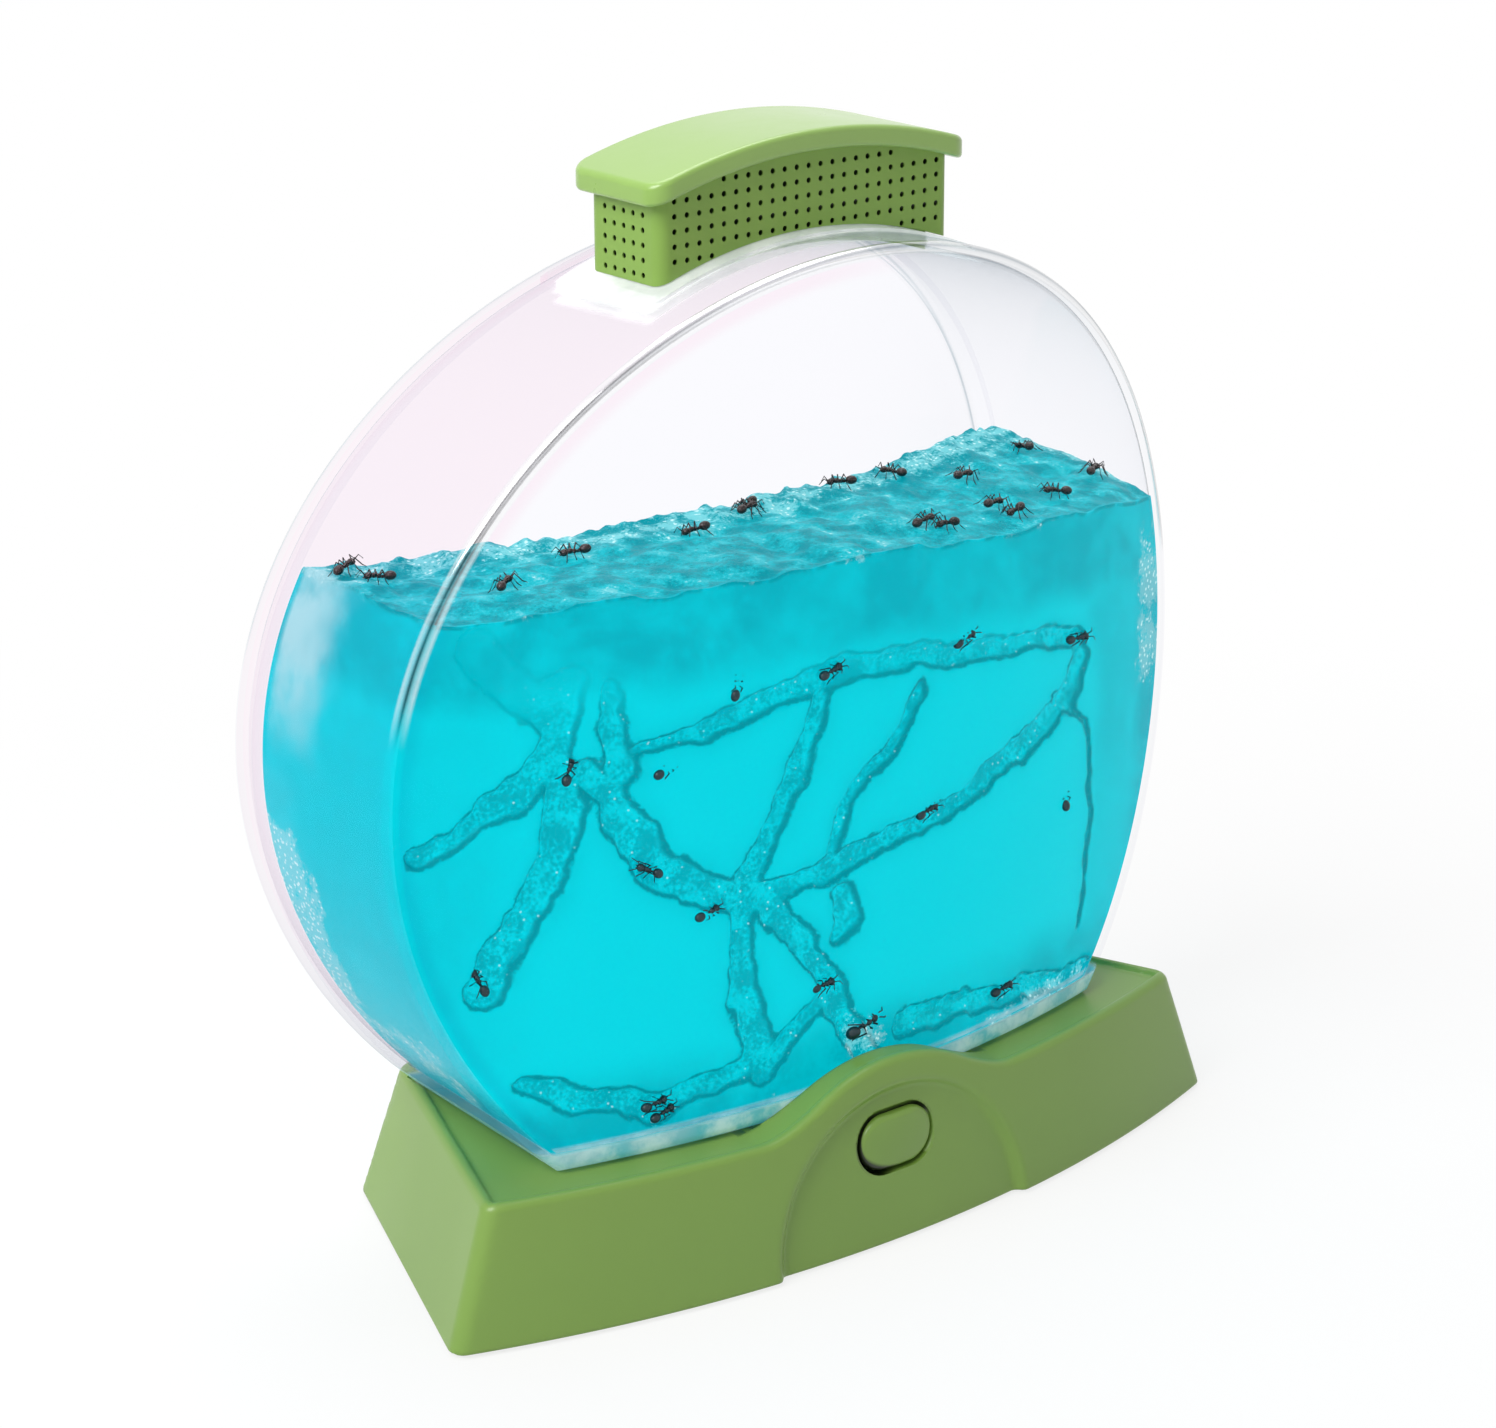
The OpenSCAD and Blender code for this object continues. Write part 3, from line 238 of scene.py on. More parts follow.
class Recipe:
    """A new material, or the look of a world, with short ways to add and join its nodes."""

    def __init__(self, name, world=None):
        self.block = world or bpy.data.materials.new(name)
        self.block.use_nodes = True
        self.tree = self.block.node_tree
        self.tree.nodes.clear()
        self.place = self.add("ShaderNodeTexCoord").outputs["Object"]

    def add(self, kind, inputs=None, **settings):
        """Adds a node; an input is a number or colour for its socket, or another node's output."""
        node = self.tree.nodes.new(kind)
        for key, value in settings.items():
            setattr(node, key, value)
        for key, value in (inputs or {}).items():
            if isinstance(value, bpy.types.NodeSocket):
                self.tree.links.new(value, node.inputs[key])
            else:
                node.inputs[key].default_value = value
        return node

    def noise(self, scale, detail=2.0, rough=0.5, twist=0.0):
        """Cloudy noise of the given scale per metre."""
        return self.add("ShaderNodeTexNoise", {"Vector": self.place, "Scale": scale, "Detail": detail,
                                               "Roughness": rough, "Distortion": twist}).outputs["Fac"]

    def cells(self, scale, feature="F1"):
        """Distance to the nearest of scattered points, of the given scale per metre."""
        return self.add("ShaderNodeTexVoronoi", {"Vector": self.place, "Scale": scale},
                        feature=feature).outputs["Distance"]

    def attribute(self, name):
        """A number kept at each vertex of the mesh."""
        return self.add("ShaderNodeAttribute", attribute_name=name).outputs["Fac"]

    def axes(self):
        """The x, y and z of the point, in metres."""
        spot = self.add("ShaderNodeSeparateXYZ", {0: self.place})
        return (spot.outputs[axis] for axis in "XYZ")

    def vector(self, operation, a, b=(0, 0, 0)):
        """One sum with vectors."""
        node = self.add("ShaderNodeVectorMath", {0: a, 1: b}, operation=operation)
        return node.outputs["Value" if operation == "LENGTH" else "Vector"]

    def from_centre(self):
        """Distance from the tank's axis, in metres."""
        centre = self.vector("SUBTRACT", self.place, (0, 0, TANK_CZ * MM))
        return self.vector("LENGTH", self.vector("MULTIPLY", centre, (1, 0, 1)))

    def facing(self):
        """0 where the surface is seen straight on, 1 where it is seen edge on."""
        return self.add("ShaderNodeLayerWeight", {"Blend": 0.5}).outputs["Facing"]

    def seen(self):
        """1 where the camera sees, also through or mirrored in clear plastic; 0 for what only lights."""
        paths = self.add("ShaderNodeLightPath").outputs
        beyond = self.math("MAXIMUM", paths["Is Glossy Ray"], paths["Is Transmission Ray"])
        return self.math("MAXIMUM", paths["Is Camera Ray"], beyond)

    def math(self, operation, a, b=0.0, c=0.0, clamp=False):
        """One sum."""
        return self.add("ShaderNodeMath", {0: a, 1: b, 2: c}, operation=operation, use_clamp=clamp).outputs[0]

    def product(self, first, *others):
        """All the values multiplied."""
        for value in others:
            first = self.math("MULTIPLY", first, value)
        return first

    def span(self, value, low, high, to_low=0.0, to_high=1.0):
        """Maps low..high onto to_low..to_high, eased at both ends."""
        sockets = {"Value": value, "From Min": low, "From Max": high, "To Min": to_low, "To Max": to_high}
        return self.add("ShaderNodeMapRange", sockets, interpolation_type="SMOOTHSTEP").outputs[0]

    def blend(self, share, first, second):
        """Mixes two colours."""
        node = self.add("ShaderNodeMix", data_type="RGBA")
        for socket, value in zip((node.inputs[0], node.inputs[6], node.inputs[7]), (share, first, second)):
            if isinstance(value, bpy.types.NodeSocket):
                self.tree.links.new(value, socket)
            else:
                socket.default_value = value if isinstance(value, float) else (*value, 1.0)
        return node.outputs[2]

    def bump(self, height, distance, strength=1.0):
        """Small relief, its distance in metres."""
        return self.add("ShaderNodeBump", {"Height": height, "Distance": distance,
                                           "Strength": strength}).outputs["Normal"]

    def mix(self, share, first, second):
        """Mixes two shaders."""
        return self.add("ShaderNodeMixShader", {0: share, 1: first.outputs[0], 2: second.outputs[0]})

    def clear(self, share, colour, grain, low, high):
        """A see-through shader with a share of white sheen, as rough as low..high by the grain."""
        through = self.add("ShaderNodeBsdfTransparent", {"Color": colour})
        sheen = self.add("ShaderNodeBsdfGlossy", {"Color": (1, 1, 1, 1),
                                                  "Roughness": self.span(grain, 0.3, 0.7, low, high)})
        return self.mix(share, through, sheen)

    def finish(self, shader, output="ShaderNodeOutputMaterial"):
        """Closes the material with a shader."""
        self.add(output, {"Surface": shader.outputs[0]})
        return self.block

    def principled(self, sockets):
        """Closes the material with one principled shader."""
        return self.finish(self.add("ShaderNodeBsdfPrincipled", sockets))

    def satin(self, base, rough, specular=0.5, coat=0.0):
        """Closes the material as moulded plastic with a fine grain."""
        grain = self.bump(self.noise(2600, 2), 0.05 * MM, 0.06)
        return self.principled({"Base Color": base, "Roughness": rough, "Specular IOR Level": specular,
                                "Coat Weight": coat, "Coat Roughness": 0.25, "Normal": grain})

    def drifts(self, colour):
        """A colour with the soft drifts of tone of moulded plastic."""
        return self.blend(self.noise(16, 3), shade(colour, 0.94), shade(colour, 1.06))


def shade(colour, factor):
    """A colour made lighter or darker."""
    return tuple(min(1.0, c * factor) for c in colour)


def moulded_plastic(name, colour, gloss=0.4, coat=0.0):
    """Satin moulded plastic: soft drifts of tone, fine grain and an uneven sheen."""
    r = Recipe(name)
    rough = r.span(r.noise(45, 4), 0.3, 0.7, gloss - 0.05, gloss + 0.06)
    return r.satin(r.drifts(colour), rough, coat=coat)


def base_plastic(name, colour, gloss):
    """Satin green of the base and button, with painted shadow that darkens it in the deep gap round the
    button, mostly at the upper left.
    """
    r = Recipe(name)
    x, y, z = r.axes()
    rise = r.math("SUBTRACT", z, BUTTON_Z * MM)
    along = r.math("MAXIMUM", r.math("SUBTRACT", r.math("ABSOLUTE", x), (BUTTON_W - BUTTON_H) / 2 * MM), 0.0)
    oval = r.math("SQRT", r.math("MULTIPLY_ADD", along, along, r.product(rise, rise)))
    behind = r.math("SUBTRACT", y, r.math("MULTIPLY_ADD", rise, FRONT_SLOPE, PAD_Y * MM))
    outer = BUTTON_H / 2 + GAP_SHADE
    # painted shadow: the green turns almost black on the walls of the deep gap round the button, behind the
    # pad's face and towards the upper left, where the real gap lies in shade
    gap = r.product(r.span(oval, (outer + 0.2) * MM, outer * MM),
                    r.span(behind, 0.1 * MM, 0.45 * MM), r.span(behind, 6 * MM, 5 * MM),
                    r.span(r.math("MULTIPLY_ADD", rise, -1.2, x), 10 * MM, 4 * MM))
    rough = r.span(r.noise(25, 2), 0.3, 0.7, gloss - 0.02, gloss + 0.03)
    return r.satin(r.blend(gap, r.drifts(colour), shade(colour, 0.05)), rough)


def textured_plastic(name, colour, gloss=0.55):
    """Spark-eroded underside plastic."""
    r = Recipe(name)
    pits = r.cells(1500)
    return r.principled({
        "Base Color": r.blend(r.noise(30, 3), shade(colour, 0.9), shade(colour, 1.08)),
        "Roughness": r.span(pits, 0.0, 0.6, gloss - 0.08, gloss + 0.08),
        "Normal": r.bump(pits, 0.08 * MM, 0.35)})


def metal(name, colour, gloss):
    """Plated metal with fine lines."""
    r = Recipe(name)
    stretch = r.add("ShaderNodeMapping", {"Vector": r.place, "Scale": (300, 300, 40)}).outputs[0]
    lines = r.add("ShaderNodeTexNoise", {"Vector": stretch, "Scale": 8.0, "Detail": 4.0}).outputs["Fac"]
    return r.principled({
        "Base Color": r.blend(lines, shade(colour, 0.85), shade(colour, 1.05)), "Metallic": 1.0,
        "Roughness": r.span(lines, 0.3, 0.7, gloss - 0.08, gloss + 0.1),
        "Normal": r.bump(lines, 0.02 * MM, 0.3)})


def milky_glow_places(r, clear):
    """Covers clear plastic with a painted milky glow where the thick floor and the boss under the vent gather
    light.
    """
    x, y, z = r.axes()
    inner_floor = UNDERSIDE + FLOOR
    floor = r.product(r.span(z, (inner_floor + 2.6) * MM, (inner_floor + 0.9) * MM),
                      r.span(y, (CORNER_Y + 54) * MM, (CORNER_Y + 50) * MM),
                      r.span(r.noise(45, 3), 0.35, 0.65, 0.7, 0.95))
    reach = r.math("ABSOLUTE", r.math("SUBTRACT", y, VENT_Y * MM))
    boss = r.product(r.span(r.math("ABSOLUTE", x), (BOSS_HALF + 2) * MM, (BOSS_HALF - 0.5) * MM),
                     r.span(reach, (VENT_D / 2 + 6) * MM, (VENT_D / 2 + 3.5) * MM),
                     r.span(z, (TANK_CZ + 90) * MM, (TANK_CZ + 95) * MM, 0.0, 0.62))
    streak = r.span(r.noise(110, 4, 0.6), 0.35, 0.65)
    white = r.blend(streak, srgb(226, 232, 230), srgb(246, 249, 248))
    cyan = r.blend(streak, srgb(70, 190, 208), srgb(196, 236, 242))
    behind = r.span(y, (CORNER_Y - 1) * MM, (CORNER_Y + 3) * MM)
    milk = r.blend(floor, white, r.blend(behind, cyan, srgb(0, 176, 194)))
    # painted glow: the milky colour with a little emission stands in for the light that the thick plastic
    # gathers
    body = r.add("ShaderNodeBsdfPrincipled", {"Base Color": milk, "Roughness": 0.15, "Emission Color": milk,
                                              "Emission Strength": 0.2})
    return r.mix(r.math("MAXIMUM", floor, boss), clear, body)


def clear_plastic(name, tint, grazing):
    """Clear plastic wall: see-through straight on, greyer and glossier where it is seen edge on; the grey is
    painted, standing in for the longer path through the plastic and for what it refracts and reflects there.
    """
    r = Recipe(name)
    x, _, _ = r.axes()
    steep = r.math("POWER", r.facing(), 5.0)
    side_wall = r.span(r.from_centre(), (TANK_R - 7) * MM, (TANK_R - 4) * MM)
    rosy = r.blend(r.product(side_wall, r.span(x, 20 * MM, -20 * MM)), tint, srgb(254, 249, 252))
    share = r.math("MULTIPLY_ADD", steep, 0.12, 0.001)
    # painted tone: the see-through colour turns grey where the wall is seen edge on
    clear = r.clear(share, r.blend(steep, rosy, grazing), r.noise(60, 3), 0.04, 0.09)
    return r.finish(milky_glow_places(r, clear))


def clear_rim(name, tint, dark, faint, fade_low, fade_high):
    """Rounded rim of the clear plastic: a painted dark line, standing in for what the rounded rim refracts
    and reflects and stronger at the left, between light flanks, which fades below a height.
    """
    r = Recipe(name)
    x, y, z = r.axes()
    facing = r.facing()
    above = r.span(z, fade_low, fade_high)
    in_front = r.span(y, 12 * MM, 2 * MM)
    painted_darker_left = r.span(x, -20 * MM, -105 * MM, 0.22, 1.0)
    # painted reflection: a dark line along the middle of the rounded rim, with a grey veil where it is seen
    # edge on, stands in for what the rim refracts and reflects; it is stronger at the left and fades below
    # the gel's top
    core = r.product(r.attribute("core"), r.span(r.noise(60, 3), 0.3, 0.6, 0.7, 1.0), above)
    veil = r.product(r.span(facing, 0.2, 0.95), 0.3, above, in_front)
    colour = r.blend(r.product(core, 0.55), tint, faint)
    colour = r.blend(r.math("MAXIMUM", r.product(core, in_front, painted_darker_left), veil), colour, dark)
    flank = r.product(r.attribute("flank"), in_front, 0.45)
    share = r.product(r.math("MULTIPLY_ADD", r.math("POWER", facing, 3.0), 0.35, flank), above)
    return r.finish(milky_glow_places(r, r.clear(share, colour, r.noise(120, 2), 0.08, 0.16)))


def vent_plastic(name, colour):
    """Satin plastic of the vent box, with painted shade that darkens it to the depth of its holes."""
    r = Recipe(name)
    aside = r.vector("ABSOLUTE", r.vector("SUBTRACT", r.place, (0, VENT_Y * MM, 0)))
    core = ((VENT_W / 2 - VENT_CORNER) * MM, (VENT_D / 2 - VENT_CORNER) * MM, 10.0)
    reach = r.vector("LENGTH", r.vector("MAXIMUM", r.vector("SUBTRACT", aside, core)))
    depth = r.math("SUBTRACT", VENT_CORNER * MM, reach)
    seat = TANK_R + BOSS_RISE
    # painted shade: the green turns almost black on the holes' walls, a little in from the outer face, where
    # the deep holes lie in shade
    painted_hole_shade = r.product(r.span(depth, 0.08 * MM, 0.5 * MM),
                     r.span(r.from_centre(), (seat + 0.2) * MM, (seat + 0.6) * MM))
    rough = r.span(r.noise(45, 4), 0.3, 0.7, 0.33, 0.44)
    return r.satin(r.blend(painted_hole_shade, r.drifts(colour), shade(colour, 0.03)), rough, specular=0.4)


def gel_material(look):
    """Ant gel: glowing cyan, darker towards its borders, with rough tunnel edges, grainy tunnels and frothy
    places; its glow is painted light.
    """
    r = Recipe("ant_gel")
    bright, cloudy, deep, milk = (tuple(c) for c in (look.bright, look.cloudy, look.deep, look.milk))
    tunnel = r.attribute("tunnel")
    level = r.attribute("level")
    line = r.attribute("crest")
    mottle = r.noise(150, 4, 0.6)
    grit = r.noise(1100, 3, 0.7)
    uneven = r.math("SUBTRACT", mottle, 0.5)
    rough = r.math("SUBTRACT", grit, 0.5)
    grainy = r.math("ADD", mottle, rough)
    # darker towards the borders, the bottom, under the top and round the tunnels, in uneven drifts, and milky
    # streaks under the top
    gel_darkening = r.product(r.attribute("gel_darkening"), r.span(r.noise(30, 4, 0.6, 0.6), 0.3, 0.6, 0.45, 1.0))
    gel_darkening = r.math("MULTIPLY", gel_darkening, r.span(grainy, 0.25, 0.65, 0.75, 1.15), clamp=True)
    base = r.blend(gel_darkening, bright, cloudy)
    streaks = r.span(r.noise(70, 5, 0.7, 1.5), 0.55, 0.75, 0.0, 0.4)
    base = r.blend(r.product(r.span(level, 22.0, 2.0), streaks), base, milk)
    # grainy tunnels with rough dark edges, both fading out under the top
    clearing = r.span(level, 13.0, 34.0, 0.12, 1.0)
    inside = r.product(r.span(tunnel, 0.3, -0.6), clearing)
    grain = r.blend(r.span(grainy, 0.35, 0.65), shade(cloudy, 0.84), bright)
    base = r.blend(r.product(inside, 0.8), base, grain)
    ragged = r.math("ADD", tunnel, r.math("MULTIPLY_ADD", uneven, 1.6, r.product(rough, 1.8)))
    edge = r.product(r.span(r.math("ABSOLUTE", ragged), 0.85, 0.15), clearing)
    base = r.blend(r.product(edge, 0.85), base, deep)
    # the top itself: mottled dark and light, with a thin dark line where it meets the window
    top = r.product(r.span(level, 1.4, 0.3), r.span(line, 0.6, 0.2))
    patches = r.span(r.math("ADD", mottle, r.product(rough, 0.5)), 0.36, 0.64)
    base = r.blend(r.product(top, 0.8), base, r.blend(patches, deep, shade(milk, 0.95)))
    crest = r.product(r.span(line, 0.35, 0.75), r.span(mottle, 0.38, 0.52))
    base = r.blend(r.product(crest, 0.6), base, deep)
    # trapped air
    torn = r.math("MULTIPLY_ADD", uneven, 1.6, rough)
    froth = r.span(r.math("ADD", r.attribute("froth"), torn), 0.45, 0.75)
    specks = r.span(r.span(r.cells(700), 0.4, 0.2), 0.0, 1.0, 0.3, 1.0)
    bubbles = r.span(r.cells(380), 0.14, 0.06, 0.0, 0.5)
    air = r.math("MAXIMUM", r.product(froth, specks), r.product(inside, bubbles))
    base = r.blend(air, base, tuple(look.foam))
    # gel that has drawn back from the wall looks milky
    pale = r.product(r.attribute("pale"), r.span(r.noise(60, 4), 0.35, 0.6, 0.35, 0.9))
    base = r.blend(pale, base, srgb(176, 232, 238))
    relief = r.product(grit, r.math("MAXIMUM", inside, r.span(level, 3.0, 0.0)))
    # painted glow: the emission carries the colour and the base colour is darkened, so that the gel glows
    # evenly as if lit through by the base's LEDs, though it is no lamp
    return r.principled({
        "Base Color": r.blend(0.72, base, (0, 0, 0)), "Roughness": r.span(grit, 0.3, 0.7, 0.25, 0.5),
        "Specular IOR Level": 0.03, "Emission Color": base, "Emission Strength": 0.72,
        "Normal": r.bump(relief, 0.35 * MM, 0.4)})


def ant_material(name, colour):
    """Ant cuticle: dark and glossy, with a redder cast in places."""
    r = Recipe(name)
    return r.principled({
        "Base Color": r.blend(r.noise(500, 3), shade(colour, 0.4), shade(colour, 1.3)),
        "Roughness": r.span(r.noise(1500), 0.3, 0.7, 0.28, 0.5),
        "Normal": r.bump(r.noise(3000), 0.02 * MM, 0.4)})


def circuit_board(name, colour):
    """Solder mask over faint tracks."""
    r = Recipe(name)
    tracks = r.add("ShaderNodeTexBrick", {"Vector": r.place, "Scale": 90.0, "Mortar Size": 0.03,
                                          "Color1": (0, 0, 0, 1), "Color2": (0.1, 0.1, 0.1, 1),
                                          "Mortar": (1, 1, 1, 1)}).outputs["Fac"]
    return r.principled({
        "Base Color": r.blend(tracks, shade(colour, 0.85), shade(colour, 1.5)),
        "Roughness": r.span(r.noise(200), 0.3, 0.7, 0.25, 0.4), "Normal": r.bump(tracks, 0.03 * MM, 0.5)})


def resin(name, colour):
    """Milky clear resin that glows a little."""
    r = Recipe(name)
    base = r.blend(r.noise(400, 2), shade(colour, 0.9), shade(colour, 1.04))
    return r.principled({
        "Base Color": base, "Roughness": r.span(r.noise(800), 0.3, 0.7, 0.12, 0.22),
        "Emission Color": base, "Emission Strength": 0.15})


def cell_jacket(name):
    """Plain grey film round a cell, with a lighter end band."""
    r = Recipe(name)
    along, _, _ = r.axes()
    band = r.span(r.math("ABSOLUTE", along), 14 * MM, 14.4 * MM)
    return r.principled({
        "Base Color": r.blend(band, srgb(70, 74, 80), srgb(176, 150, 96)), "Metallic": 0.4,
        "Roughness": r.span(r.noise(300), 0.3, 0.7, 0.28, 0.4),
        "Normal": r.bump(r.noise(1200), 0.02 * MM, 0.2)})


def dress(material, *nodes):
    """Gives carried-over nodes their material."""
    for node in nodes:
        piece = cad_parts[node]
        if not piece.material_slots:
            piece.data.materials.append(material)
        for place in piece.material_slots:
            place.material = material


# ---------- mesh helpers ----------

def new_object(name, data):
    """A new object in the scene."""
    item = bpy.data.objects.new(name, data)
    bpy.context.scene.collection.objects.link(item)
    return item


def place_piece(name, mesh, materials, body, sharp=35.0):
    """Puts a finished mesh into the scene as a piece that rides on a body."""
    mesh.shade_smooth()
    mesh.set_sharp_from_angle(angle=math.radians(sharp))
    for material in materials:
        mesh.materials.append(material)
    piece = new_object(name, mesh)
    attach(piece, body)
    return piece


def baked(piece):
    """The mesh of an object with its modifiers worked in."""
    graph = bpy.context.evaluated_depsgraph_get()
    graph.update()
    return bpy.data.meshes.new_from_object(piece.evaluated_get(graph), depsgraph=graph)


def loft(rings, across):
    """Quads between rings of points; across says whether each ring is closed."""
    rows, count = rings.shape[:2]
    faces = []
    for i in range(rows - 1):
        for j in range(count if across else count - 1):
            k = (j + 1) % count
            faces.append((i * count + j, i * count + k, (i + 1) * count + k, (i + 1) * count + j))
    return faces


# ---------- rounded mouldings ----------

def meet(a, b, radius):
    """Distance to what two solids share, its edge rounded; negative inside."""
    rounded = np.hypot(np.maximum(a + radius, 0), np.maximum(b + radius, 0))
    return np.minimum(np.maximum(a, b), -radius) + rounded


def unite(a, b, radius):
    """Distance to two solids joined with a fillet."""
    return -meet(-a, -b, radius)


def crossings(inside, value):
    """Sums and counts of the points where the surface crosses each cell's edges, in cell steps."""
    shape = [n - 1 for n in value.shape]
    total = np.zeros((3, *shape))
    count = np.zeros(shape, dtype=int)
    corner = [(i, j, k) for i in (0, 1) for j in (0, 1) for k in (0, 1)]

    def at(table, c):
        return table[tuple(slice(o, o + n) for o, n in zip(c, shape))]
    for first in corner:
        for axis in range(3):
            if first[axis]:
                continue
            second = tuple(1 if k == axis else c for k, c in enumerate(first))
            crossed = at(inside, first) != at(inside, second)
            low, high = at(value, first), at(value, second)
            share = np.where(crossed, low / np.where(crossed, low - high, 1), 0)
            for k in range(3):
                total[k] += np.where(crossed, share if k == axis else first[k], 0)
            count += crossed
    return total, count


def surface_mesh(name, distance, place, axes):
    """Closed mesh of quads on the surface distance(x, y, z) = 0, found on a bent grid of millimetres."""
    value = distance(*place(*np.meshgrid(*axes, indexing="ij")))
    inside = value < 0
    total, count = crossings(inside, value)
    held = np.nonzero(count)
    number = np.full(count.shape, -1)
    number[held] = np.arange(len(held[0]))
    steps = [held[k] + total[k][held] / count[held] for k in range(3)]
    point = np.array(place(*(np.interp(step, np.arange(len(axis)), axis) for step, axis in zip(steps, axes))))
    for _ in range(5):
        slope = np.array([distance(*(point + step)) - distance(*(point - step))
                          for step in np.eye(3)[:, :, None] * 0.02]) / 0.04
        shift = distance(*point) * slope / np.maximum((slope ** 2).sum(axis=0), 0.2)
        point -= np.clip(shift, -0.4, 0.4)
    faces = []
    for axis in range(3):
        low = [slice(1, -1)] * 3
        low[axis] = slice(0, -1)
        high = list(low)
        high[axis] = slice(1, None)
        first, second = inside[tuple(low)], inside[tuple(high)]
        crossed = first != second
        outward = first[crossed]
        spots = np.array(np.nonzero(crossed))
        b, c = [k for k in range(3) if k != axis]
        ring = []
        for step_b, step_c in ((0, 0), (1, 0), (1, 1), (0, 1)):
            cell = spots.copy()
            cell[b] += step_b
            cell[c] += step_c
            ring.append(number[tuple(cell)])
        quads = np.array(ring).T
        turned = outward == (axis == 1)
        quads[turned] = quads[turned][:, ::-1]
        faces.append(quads)
    mesh = bpy.data.meshes.new(name)
    mesh.from_pydata((point.T * MM).tolist(), [], np.concatenate(faces).tolist())
    return tidy_mesh(mesh)


def tidy_mesh(mesh, weld=0.002 * MM):
    """Welds points that lie together and turns the faces outwards."""
    work = bmesh.new()
    work.from_mesh(mesh)
    bmesh.ops.remove_doubles(work, verts=work.verts, dist=weld)
    bmesh.ops.recalc_face_normals(work, faces=work.faces)
    work.to_mesh(mesh)
    work.free()
    return mesh


def solid(name, points, faces):
    """Closed mesh from points in millimetres."""
    mesh = bpy.data.meshes.new(name)
    mesh.from_pydata((np.asarray(points) * MM).tolist(), [], faces)
    return tidy_mesh(mesh)


def prism(name, first, second):
    """Closed mesh between two outlines with as many points."""
    count = len(first)
    faces = [tuple(range(count)), tuple(range(count, 2 * count))]
    faces += [(i, (i + 1) % count, count + (i + 1) % count, count + i) for i in range(count)]
    return solid(name, [*first, *second], faces)


def combine(name, base, others, solver="MANIFOLD"):
    """Unites or cuts closed meshes in order; others are (mesh, operation)."""
    first = new_object(name + "_work", base)
    helpers = [first]
    for i, (mesh, operation) in enumerate(others):
        helper = new_object(f"{name}_{i}", mesh)
        helpers.append(helper)
        cut = first.modifiers.new(helper.name, "BOOLEAN")
        cut.operation = operation
        cut.solver = solver
        cut.object = helper
    result = baked(first)
    for helper in helpers:
        bpy.data.objects.remove(helper)
    result.name = name
    result.materials.clear()
    return result


def node_copy(node):
    """A closed copy of a node's mesh."""
    return tidy_mesh(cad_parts[node].data.copy(), 2e-6)


def spaced(*stretches):
    """Grid values along stretches of (start, end, step)."""
    parts = [np.linspace(a, b, max(2, round((b - a) / step) + 1)) for a, b, step in stretches]
    return np.unique(np.round(np.concatenate(parts), 4))


# ---------- form of the base ----------

def base_place(turn, depth, z):
    """Point at an arc length along the front, a depth behind it, and a height."""
    radius = BASE_FRONT_R - depth
    angle = turn / BASE_FRONT_R
    return radius * np.sin(angle), BASE_CY - radius * np.cos(angle), z


def housing_distance(look, inset=0.0, bottom=RIM_Z + 0.02):
    """Distance to the housing's outer form, moved in by inset, above a bottom height."""
    corner, edge, rim = look.corner / MM, look.lip_edge / MM, look.edge / MM

    def distance(x, y, z):
        rho = np.hypot(x, y - BASE_CY)
        rise = z - RIM_Z
        front = (rho - BASE_FRONT_R + rise * FRONT_SLOPE) / math.hypot(1, FRONT_SLOPE)
        rear = (BASE_REAR_R + rise * REAR_SLOPE - rho) / math.hypot(1, REAR_SLOPE)
        end = ((np.abs(x) * math.cos(END_ANGLE) + (y - BASE_CY) * math.sin(END_ANGLE)) * math.cos(END_TILT)
               + rise * math.sin(END_TILT))
        arc = np.hypot(x, rise)
        top = unite(z - DECK_Z, np.maximum(arc - ARCH_R, y), look.arch_fillet / MM)
        body = meet(np.maximum(front, rear), end, corner)
        body = meet(body, top, edge)
        outline = np.maximum(np.maximum(front, rear), end)
        inner = outline + LIP - 0.5 * np.clip(top + DECK_SUNK, 0, DECK_SUNK)
        body = meet(body, -meet(inner, -(top + DECK_SUNK), rim), rim)
        pad = meet(np.maximum(arc - PAD_R, y), -(front + PAD_DEPTH), PAD_FILLET)
        body = meet(body, -pad, look.pad_edge / MM)
        return meet(body + inset, bottom - z, rim)
    return distance


def housing_mesh(look):
    """The housing: rounded outside, hollow as constructed, with room for the tank, foot and button."""
    half = BASE_FRONT_R * END_ANGLE
    axes = (spaced((-half - 2, -half + 8, 0.9), (-half + 8, -49, 1.8), (-49, 49, 0.85), (49, half - 8, 1.8),
                   (half - 8, half + 2, 0.9)),
            spaced((-2, 11, 0.7), (11, 96, 2.8), (96, 112, 0.9)),
            spaced((RIM_Z - 1.6, RIM_Z + 3, 0.55), (RIM_Z + 3, 27, 0.9), (27, 47, 0.65)))
    outside = surface_mesh("housing_outside", housing_distance(look), base_place, axes)
    low = (axes[0], axes[1], np.concatenate([[RIM_Z - 4, RIM_Z - 3], axes[2]]))
    core = housing_distance(look, SHELL_WALL / 2, RIM_Z - 2.5)
    inside = surface_mesh("housing_inside", core, base_place, low)
    # wider rooms are taken out of the hollow, so that it shares no face with the rooms themselves
    around = [node_copy("base_housing"), tank_room(1.0), foot_room(1.0)]
    hollow = combine("housing_hollow", inside, [(mesh, "DIFFERENCE") for mesh in around])
    cuts = [hollow, tank_room(), foot_room(), button_room()]
    return combine("base_housing_rounded", outside, [(mesh, "DIFFERENCE") for mesh in cuts])


